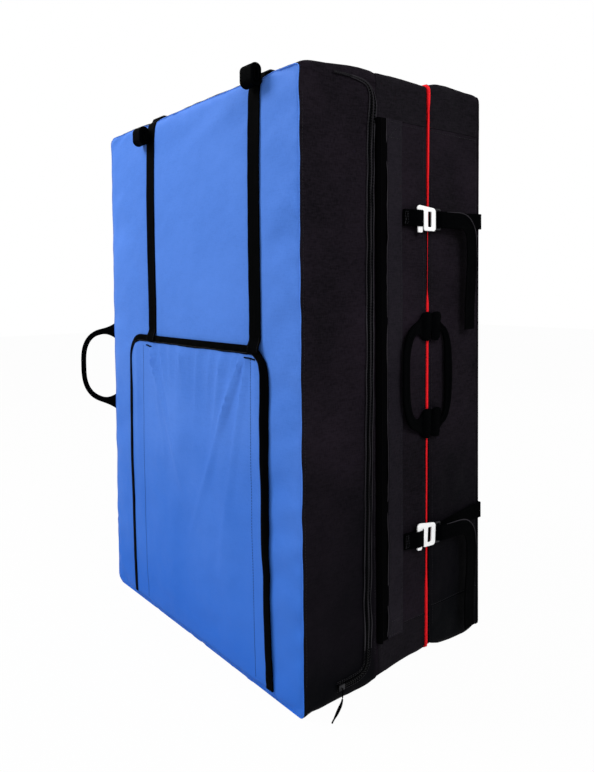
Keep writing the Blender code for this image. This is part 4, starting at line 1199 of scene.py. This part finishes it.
def closureLift(u, share, z, ends):  # the front edge stands free and wavy, the rear edge is sewn down
    if u > 0.9:
        return 0.0012
    wave = 0.5 + 0.5 * math.sin(2 * math.pi * (4.6 * share + 0.7 * math.sin(5 * share)))
    rumple = 0.0018 * ripple(z * 22, u * 1.4, 3) + 0.0011 * ripple(z * 60, u * 2.6, 5)
    lift = 0.0016 + (0.0034 * wave * (1 - u) ** 1.3 + rumple) * ends
    return max(0.0009, lift if u else lift - 0.0014)  # the folded hem turns in and faces the front


def makeClosure():
    s = closureSettings
    tall = s["high"] - s["low"]
    heights = [s["low"] + tall * i / s["rows"] for i in range(s["rows"] + 1)]
    run = [Vector((sideAt("middle", s["tapeY"], z, 0.007) + 0.0010, s["tapeY"], z)) for z in heights]
    zipLine = [Vector((sideAt("middle", s["flapY"], z, 0.008) + 0.0007, s["flapY"], z)) for z in heights]
    band("fastenerStrip", run, backward, s["tapeWide"], 0.0018, "webbing", "slab_middle", ("fastener_strip",), 0.0004,
         2.0, fuzzAndShadeFinish)
    band("middleZipTape", zipLine, backward, 0.020, 0.0010, "webbing", "slab_middle", ("middle_zip",), 0.0003, 2.6)
    columns, rows = 12, s["rows"] * 2
    points = []
    for j in range(rows + 1):
        share = j / rows
        z = s["low"] + tall * share
        ends = min(1, min(share, 1 - share) / 0.03)
        base = zipLine[min(len(zipLine) - 1, j // 2)].x
        for i in range(columns + 1):
            u = i / columns
            ruck = 0.0012 * ripple(z * 16, 0.3, 7) * (1 - u)
            points.append(Vector((base + closureLift(u, share, z, ends),
                                  s["flapY"] + (u - 0.5) * s["flapWide"] + ruck, z)))

    def upright(column, lift):
        return [points[j * (columns + 1) + column] + sideways * lift for j in range(rows + 1)]

    made = newPiece("closureFlap", points + [spot - sideways * 0.0007 for spot in points], sheetFaces(columns, rows)[0],
                    "black_cloth", "slab_middle", ("closure_flap",), 50, None, closureFinish)
    # The flap's rolled front hem, in lighter cloth as a painted highlight along its edge
    tube("closureHem", upright(0, 0.0002), [0.0007 + 0.0005 * ripple(j * 0.11, 3, 1) for j in range(rows + 1)],
         "black_cloth", "slab_middle", finish=foldHighlightFinish)
    for column in (1, columns - 1):
        sew("slab_middle", upright(column, 0.0004), sideways)
    flapTree = searchOf(made)
    for low in (s["low"] + 0.004, s["high"] - 0.030):  # a stitched box at each end
        line = crossedBox(-0.013, 0, 0.013, 0.026)
        line = [(0.4, s["flapY"] + a + (c - a) * t / 5, low + b + (d - b) * t / 5)
                for (a, b), (c, d) in zip(line, line[1:]) for t in range(5)]
        sewnOn(flapTree, line, -sideways, "slab_middle", 0.0004)


makeClosure()
print("closure made")


# Hinge cloth between the slabs

hingeSettings = {"low": 0.067, "tall": 0.866, "columns": 4, "rows": 90, "bow": 0.0012, "thick": 0.0007}
# Each leaf: its node, its body, the fold's axis, the slab's edge and the side that it lies on
hingeLeaves = {
    "rightHingeFront": ("right_hinge_front_leaf", "slab_front", (0.340, -0.053), -0.054, -1),
    "rightHingeMiddle": ("right_hinge_middle_leaf", "slab_middle", (0.340, -0.053), -0.052, 1),
    "leftHingeMiddle": ("left_hinge_middle_leaf", "slab_middle", (-0.3345, 0.074), 0.069, -1),
    "leftHingeRear": ("left_hinge_rear_leaf", "slab_rear", (-0.3345, 0.074), 0.079, 1),
}


def makeHinges():
    s = hingeSettings
    columns, rows = s["columns"], s["rows"]
    for name, (node, body, axis, edge, side) in hingeLeaves.items():
        hand = math.copysign(1, axis[0])
        play = 0.0006 if hand > 0 else 0.0004
        points = []
        for j in range(rows + 1):
            z = s["low"] + s["tall"] * j / rows
            root = Vector((hand * panelX, edge + side * 0.0045, z))
            tip = Vector((axis[0] - hand * 0.0006, axis[1] + side * play, z))
            ruck = 0.0006 * ripple(z * 26, axis[0] * 9, side)
            for i in range(columns + 1):
                t = i / columns
                bow = Vector((hand, side * 0.9, 0)) * s["bow"] * math.sin(math.pi * t)
                points.append(root.lerp(tip, t) + bow + sideways * hand * ruck * (1 - t))
        points += [spot - Vector((hand * s["thick"], side * 0.0004, 0)) for spot in points]
        # The right leaves, deep in the fold's gap, take the near-black fuzz as painted shade
        newPiece(name, points, sheetFaces(columns, rows)[0], "black_cloth", body, (node,), 50, None,
                 fuzzAndShadeFinish if hand > 0 else None)


makeHinges()
print("hinges made")


# Hooks, catch loops and the straps round the rear slab

hookSettings = {"heights": {"upper": (0.7765, 0.0035, 0.1955), "lower": (0.2215, 0.0130, 0.1955)},
                "pivot": (0.338, 0.0945), "lead": 0.0365, "half": 0.023, "drop": 0.0245, "thick": 0.0032,
                "yokeThick": 0.0026, "soften": 0.0010,
                "set": {"upper": (0, 0, 0), "lower": (-0.0015, 0.0030, -3.5)}}
hookOutline = ((0.0008, 0, 0.003), (-0.0015, 0.0475, 0.0065), (0.0465, 0.0430, 0.0070), (0.0465, 0.0035, 0.0055),
               (0.0156, 0.0035, 0.0045), (0.0152, 0.0368, 0.0016), (0.0118, 0.0366, 0.0016), (0.0124, 0, 0.003))
yokeOutline = ((0.0440, 0.0058, 0.0015), (0.0595, 0.0058, 0.0022), (0.0595, 0.0432, 0.0022), (0.0440, 0.0432, 0.0015))
hookWindow, yokeWindow = (0.0262, 0.0103, 0.0096, 0.0266, 0.002), (0.0490, 0.0090, 0.0075, 0.0310, 0.002)


def makeHooks():
    s = hookSettings
    for name, (height, rise, tail) in s["heights"].items():
        forward, up, tilt = s["set"][name]
        turn = math.radians(tilt)
        along = backward * math.cos(turn) + upward * math.sin(turn)
        over = upward * math.cos(turn) - backward * math.sin(turn)
        middle = Vector((s["pivot"][0], s["lead"] + s["half"] + forward, height + up))
        corner = middle - along * s["half"] - over * s["drop"]
        for part, outline, window, thick in (("hook", hookOutline, hookWindow, s["thick"]),
                                             ("hookYoke", yokeOutline, yokeWindow, s["yokeThick"])):
            made = platePiece(part + name.title(), [outlineWith(outline), box(*window)], thick, s["soften"],
                              (along, over, sideways), corner, "white_hook_metal", "hook_" + name, ("hook_" + name,))
            if part == "hookYoke":  # the strap's bar sits in shade, so its coat is read as dark
                made.data.materials[0] = finishes["zip_metal"]


catchSettings = {"behind": 0.33205, "ahead": 0.3407, "bar": 0.0465, "thick": 0.0016,
                 "root": ((-0.0004, 0.008), (0, 0.018), (0, 0.034), (0, 0.0465)),
                 "end": ((0.00865, 0.0465), (0.00865, 0.0345), (0.00475, 0.025), (0.0019, 0.018), (0.0018, 0.0095)),
                 "box": (0.0095, -0.010, 0.017, 0.010)}


def makeCatchLoops():
    s = catchSettings
    radius = (s["ahead"] - s["behind"]) / 2
    for k, (name, (height, rise, tail)) in enumerate(hookSettings["heights"].items()):
        path = [Vector((s["behind"] + x, y, height)) for x, y in s["root"]]
        for i in range(1, 12):
            angle = math.radians(-90 + 180 * i / 12)
            path.append(Vector((s["behind"] + radius + radius * math.sin(angle), s["bar"] + radius * math.cos(angle),
                                height)))
        path += [Vector((s["behind"] + x, y, height)) for x, y in s["end"]]
        band(f"catchLoop{name.title()}", smoothRun(path, 0.0025), upward, webWidth, s["thick"], "webbing",
             "slab_middle", (f"catch_loop_{name}",), 0.0003, 2 + k)
        sew("slab_middle", [Vector((s["behind"] + 0.0030, y, height + z)) for y, z in crossedBox(*s["box"])], sideways)


rearStrapSettings = {"thick": 0.0016, "anchor": 0.270, "loop": 0.0048, "reach": 0.172, "bow": 0.003,
                     "box": (0.274, -0.010, 0.300, 0.010)}
# Round the slab's rear edge, along its side, and the tail's turn: along, outwards, down, and the web's turn in degrees
edgeTurn = ((-0.2, 0.85), (0.6, 0.95), (1, 0.45), (0.95, -0.6))
sideRun = ((0.3325, 0.196, 0.9), (0.3324, 0.178, 0.75), (0.3322, 0.146, 0.45), (0.3316, 0.118, 0.15),
           (panelX, 0.103, 0))
tailTurn = ((0.3, 0.5, 0, 0), (0.6, 1, 0, 0), (0.8, 1, 0.054, 30), (0.946, 1, 0.2, 60), (1, 1, 0.4, 90))


def makeRearStraps():
    s, own = rearStrapSettings, hookSettings
    pivotX, pivotY = own["pivot"]
    radius = pivotX - panelX
    outer, reach = pivotX + radius, s["reach"] - pivotY
    for k, (name, (height, rise, tail)) in enumerate(own["heights"].items()):
        lift = height + rise
        back = hitOn(search["rear"], (s["anchor"] + 0.01, 0.3, lift), -backward, 0.0012).y
        path = [Vector((s["anchor"], back, lift)), Vector((0.295, back - 0.0006, lift)), Vector((0.320, 0.2175, lift))]
        path += [Vector((halfWidth + u * s["loop"], 0.216 + v * s["loop"], lift)) for u, v in edgeTurn]
        path += [Vector((x, y, height + rise * share)) for x, y, share in sideRun]
        for i in range(13):
            angle = math.radians(-180 * i / 12)
            path.append(Vector((pivotX - radius * math.cos(angle), pivotY + radius * math.sin(angle), height)))
        across = [0.0] * len(path)
        for along, out, down, turn in tailTurn:
            path.append(Vector((outer + s["bow"] * out, pivotY + reach * along, height - reach * down)))
            across.append(turn)
        last = path[-1].z
        for i in range(1, 9):
            share = i / 8
            x = outer + s["bow"] * (1 - share) + 0.0012 * math.sin(5 * share + k)
            path.append(Vector((x, s["reach"] + 0.0008 * math.sin(7 * share), last + (height - tail - last) * share)))
            across.append(90)
        path, turns = smoothRun(path, 0.004, across)
        spans = [upward * math.cos(math.radians(turn)) + backward * math.sin(math.radians(turn)) for turn in turns]
        band(f"rearStrap{name.title()}", path, spans, webWidth, s["thick"], "webbing", "slab_rear",
             (f"rear_strap_{name}",), 0.0004, 4 + k)
        # A painted highlight along the strap's upper edge where it folds down into the tail
        fold = [spot + span * (webWidth / 2 - 0.0004) + sideways * 0.0009
                for spot, span, turn in zip(path, spans, turns)
                if spot.x > outer - 0.001 and (turn > 2 or spot.y > pivotY + 0.010) and spot.z > height - 0.045]
        sizes = [0.0004 + 0.0007 * math.sin(math.pi * i / (len(fold) - 1)) for i in range(len(fold))]
        tube("tailFold" + name.title(), fold, sizes, "webbing", "slab_rear", sharp=60, finish=foldHighlightFinish)
        sew("slab_rear", [Vector((x, back + 0.0012, lift + z)) for x, z in crossedBox(*s["box"])], backward)


makeHooks()
makeCatchLoops()
makeRearStraps()
print("hooks, loops and rear straps made")


# Carry handles

handleSettings = {
    "left": {"root": (-0.3311, -0.206), "lean": 212, "top": 0.566, "span": 0.160, "reach": 0.096, "web": 0.038,
             "grip": 0.0125},
    "middle": {"root": (0.3311, 0.063), "lean": -82, "top": 0.5885, "span": 0.170, "reach": 0.057, "web": 0.046,
               "grip": 0.020},
    "rear": {"root": (0.3311, 0.088), "lean": 82, "top": 0.5885, "span": 0.170, "reach": 0.0338, "web": 0.046,
             "grip": 0.0175},
}
handleShape = {"thick": 0.0042, "end": 0.0017, "straight": 0.006, "taper": 2.2, "square": 0.68}


def makeHandles():
    g = handleShape
    section = ((-1, 0.35), (-0.93, 0.75), (-0.75, 1), (-0.4, 0.98), (-0.12, 0.80), (0, 0.72), (0.12, 0.80), (0.4, 0.98),
               (0.75, 1), (0.93, 0.75), (1, 0.35))
    for k, (name, s) in enumerate(handleSettings.items()):
        root = Vector((*s["root"], s["top"] - s["span"] / 2))
        lean = math.radians(s["lean"])
        out = Vector((math.cos(lean), math.sin(lean), 0))
        path = [root - out * 0.0003 + upward * s["span"] / 2]
        widths, thicks = [s["web"]], [g["end"]]
        steps = 64
        for i in range(steps + 1):
            angle = math.pi * i / steps
            share = max(0, math.sin(angle)) ** g["square"]
            up = math.copysign(abs(math.cos(angle)) ** g["square"], math.cos(angle))
            far = g["straight"] + (s["reach"] - g["straight"]) * share
            path.append(root + out * far + upward * s["span"] / 2 * up)
            end = max(0, 1 - share * g["taper"]) ** 2
            lens = 1 - 0.35 * abs(up) ** 2 if name == "rear" else 1
            widths.append(s["grip"] * lens + (s["web"] - s["grip"] * lens) * end)
            thicks.append(g["thick"] - (g["thick"] - g["end"]) * end)
        path.append(root - out * 0.0003 - upward * s["span"] / 2)
        widths.append(s["web"])
        thicks.append(g["end"])
        side = out.cross(upward)
        across = [ahead.cross(side) for ahead in headings(path)]
        band(f"handle{name.title()}", path, across, widths, thicks, "webbing", "handle_" + name, ("handle_" + name,),
             0.0007, 11 + k, section=section)
    top, span = (handleSettings["middle"][key] for key in ("top", "span"))
    for slab, low, high in (("middle", 0.0535, 0.0775), ("rear", 0.0782, 0.1020)):
        for end, middle in (("Upper", top), ("Lower", top - span)):  # the webbing's ends, bunched over the fold
            points = []
            for i in range(9):
                t = i / 8
                y = low + (high - low) * t
                rise = 0.0010 + 0.0026 * math.sin(math.pi * t) ** 0.6
                points.append(Vector((panelX + rise, y, middle + 0.0015 * math.sin(5 * t + middle * 40))))
            shares = [i / 8 if slab == "middle" else 1 - i / 8 for i in range(9)]
            widths = [0.030 + 0.022 * math.sin(math.pi * min(1, 0.12 + t * 0.75)) ** 0.7 for t in shares]
            band(f"{slab}HandleRoot{end}", points, upward, widths, 0.0026, "webbing", "slab_" + slab, (), 0.0012,
                 20 + middle * 10)


makeHandles()
print("handles made")


# Carrying harness on the back

harnessSettings = {"top": 0.800, "length": 0.370, "spread": 0.085, "sway": 0.020, "width": 0.070, "thick": 0.014,
                   "webEnd": 0.230, "webSpread": 0.215, "yokeWide": 0.300, "yokeLow": 0.807, "yokeHigh": 0.887}


def makeShoulder(hand, side):
    s = harnessSettings
    rows, ring = 60, 24
    points = []
    for i in range(rows + 1):
        t = i / rows
        x = side * (s["spread"] + s["sway"] * math.sin(math.pi * t) + s["sway"] * t)
        z = s["top"] - s["length"] * t
        ends = min(1, (1 - (2 * t - 1) ** 12))
        swell = 0.68 + 0.32 * math.sin(math.pi * t)
        half = s["width"] / 2 * swell * (0.55 + 0.45 * ends)
        thick = s["thick"] * swell * (0.25 + 0.75 * ends)
        channel = 1 - 0.10 * bell((t * 6) % 1 - 0.5, 0.06)
        for k in range(ring):
            angle = 2 * math.pi * k / ring
            u = math.copysign(abs(math.cos(angle)) ** 0.7, math.cos(angle))
            v = math.copysign(abs(math.sin(angle)) ** 0.8, math.sin(angle))
            y = thick / 2 * (1 + v * (channel if v > 0 else 1))
            hit = hitOn(search["rear"], (x + u * half, 0.3, z), -backward, 0.0004)
            points.append(Vector((x + u * half, hit.y + max(0, y), z)))
    made = newPiece("shoulderPad" + hand, points, ringFaces(ring, rows + 1), "black_cloth", "slab_rear",
                    ("shoulder_pad_" + hand.lower(),), 60)
    for edge, part in ((0, "Outer"), (ring // 2, "Inner")):
        tube(f"shoulderPiping{hand}{part}", [spot + backward * 0.001 for spot in points[edge::ring]], 0.0016, "webbing",
             "slab_rear")
    start = Vector((side * (s["spread"] + s["sway"]), 0, s["top"] - s["length"] + 0.006))
    end = Vector((side * s["webSpread"], 0, s["webEnd"]))
    down = (end - start).normalized()
    path = []
    for i in range(30):
        spot = start.lerp(end, i / 29)
        hits = [hitOn(search["rear"], (spot.x + step, 0.3, spot.z), -backward, 0.0012).y for step in (-0.01, 0, 0.01)]
        path.append(Vector((spot.x, max(hits) + 0.0006, spot.z)))
    band("harnessWeb" + hand, path, down.cross(backward), webWidth, 0.0016, "webbing", "slab_rear",
         ("harness_web_" + hand.lower(),), 0.0003, 8 + side)


def makeYoke():
    s = harnessSettings
    columns, rows = 40, 12
    middle, reach, rise = (s["yokeLow"] + s["yokeHigh"]) / 2, s["yokeWide"] / 2, (s["yokeHigh"] - s["yokeLow"]) / 2
    points = []
    for j in range(rows + 1):
        for i in range(columns + 1):
            u, v = 2 * i / columns - 1, 2 * j / rows - 1
            x, z = roundedPlace(u * reach, v * rise, reach, rise, 0.012)
            hit = hitOn(search["rear"], (x, 0.3, z + middle), -backward, 0)
            puffed = 0.0016 * (1 - u ** 8) * (1 - v ** 6)
            points.append(Vector((x, hit.y + 0.0012 + puffed, z + middle)))
    faces, rim = sheetFaces(columns, rows)
    yoke = newPiece("harnessYoke", points + [spot - backward * 0.0010 for spot in points], faces, "black_cloth",
                    "slab_rear", ("harness_yoke",), 50)
    inner = [spot + (Vector((0, spot.y, middle)) - spot).normalized() * 0.004 + backward * 0.0006
             for spot in (points[i] for i in rim)]
    sew("slab_rear", inner, backward, True)


makeShoulder("Right", 1)
makeShoulder("Left", -1)
makeYoke()
print("harness made")


# Stitching round the covers' seams

def makeSeamStitches():
    for slab, own in slabs.items():
        tree, body = search[slab], "slab_" + slab
        for y, toward in ((own["low"] + 0.007, 0), (own["high"] - 0.007, 1)):
            for hand in (-1, 1):
                line = [(hand * 0.4, y, 0.05 + 0.9 * i / 90) for i in range(91)]
                if slab == "front" and hand < 0 and toward == 0:  # none under the left handle's ends
                    sewnOn(tree, [spot for spot in line if spot[2] < 0.385], -sideways * hand, body)
                    line = [spot for spot in line if spot[2] > 0.590]
                sewnOn(tree, line, -sideways * hand, body)
            line = [(-0.28 + 0.56 * i / 60, y, 1.1) for i in range(61)]
            sewnOn(tree, line, -upward, body)
    for slab in ("middle", "rear"):
        own = slabs[slab]
        for z in (own["seams"][0] + 0.004, own["seams"][1] - 0.004):
            for hand in (-1, 1):
                line = [(hand * 0.4, own["low"] + 0.006 + (own["high"] - own["low"] - 0.012) * i / 12, z)
                        for i in range(13)]
                sewnOn(search[slab], line, -sideways * hand, "slab_" + slab)
    for body, (corners, faces) in stitchStore.items():
        newPiece("stitching_" + body, corners, faces, "webbing", body, (), 60, None, threadFinish)


makeSeamStitches()
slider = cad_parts["zip_slider"]
slider.data.materials.clear()
slider.data.materials.append(finishes["zip_metal"])
print("stitching made")


# Stage: pale floor, white surroundings and soft light

stageSettings = {"floor": 0.62, "floorLight": 0.975, "world": 0.42, "key": 62.0, "fill": 48.0, "rim": 14.0}


def seenWhite(tree):  # one for rays from the camera, mirrored or let through, nought for scattered ones
    rays = tree.nodes.new("ShaderNodeLightPath").outputs
    first = calc(tree, "MAXIMUM", rays["Is Camera Ray"], rays["Is Glossy Ray"])
    return calc(tree, "MAXIMUM", first, rays["Is Transmission Ray"])


def makeStage():
    s = stageSettings
    size = 9.0
    corners = [(x * size, y * size, -0.0004) for x, y in ((-1, -1), (1, -1), (1, 1), (-1, 1))]
    floor = addObject("floor", addMesh("floor", corners, [(0, 1, 2, 3)]))
    made = bpy.data.materials.new("paleFloor")
    made.use_nodes = True
    tree = made.node_tree
    tree.nodes.clear()
    share = times(tree, seenWhite(tree), s["floorLight"])
    plain = addNode(tree, "ShaderNodeBsdfDiffuse", {"Color": (s["floor"],) * 3 + (1,)})
    light = addNode(tree, "ShaderNodeEmission", {"Color": (1, 1, 1, 1), "Strength": 1.0})
    mixed = addNode(tree, "ShaderNodeMixShader", {0: share, 1: plain.outputs[0], 2: light.outputs[0]})
    end = tree.nodes.new("ShaderNodeOutputMaterial")
    tree.links.new(mixed.outputs[0], end.inputs["Surface"])
    floor.data.materials.append(made)

    world = bpy.data.worlds.new("surroundings")
    scene.world = world
    world.use_nodes = True
    tree = world.node_tree
    tree.nodes.clear()
    strength = spread(tree, seenWhite(tree), 0.0, 1.0, s["world"], 1.0)
    sky = addNode(tree, "ShaderNodeBackground", {"Color": (1, 1, 1, 1), "Strength": strength})
    end = tree.nodes.new("ShaderNodeOutputWorld")
    tree.links.new(sky.outputs[0], end.inputs["Surface"])

    for name, power, spot, target, size in (
            ("keyLamp", s["key"], (-1.3, -1.6, 2.5), (0, -0.1, 0.8), 1.1),
            ("fillLamp", s["fill"], (2.4, -0.2, 2.2), (0.3, 0, 0.7), 1.1),
            ("rearLamp", s["rim"], (-0.6, 2.6, 1.8), (0, 0, 0.6), 2.0)):
        data = bpy.data.lights.new(name, "AREA")
        data.energy = power
        data.size = size
        lamp = addObject(name, data)
        lamp.location = spot
        lamp.rotation_euler = (Vector(target) - Vector(spot)).to_track_quat("-Z", "Y").to_euler()


makeStage()
print("stage and light made")
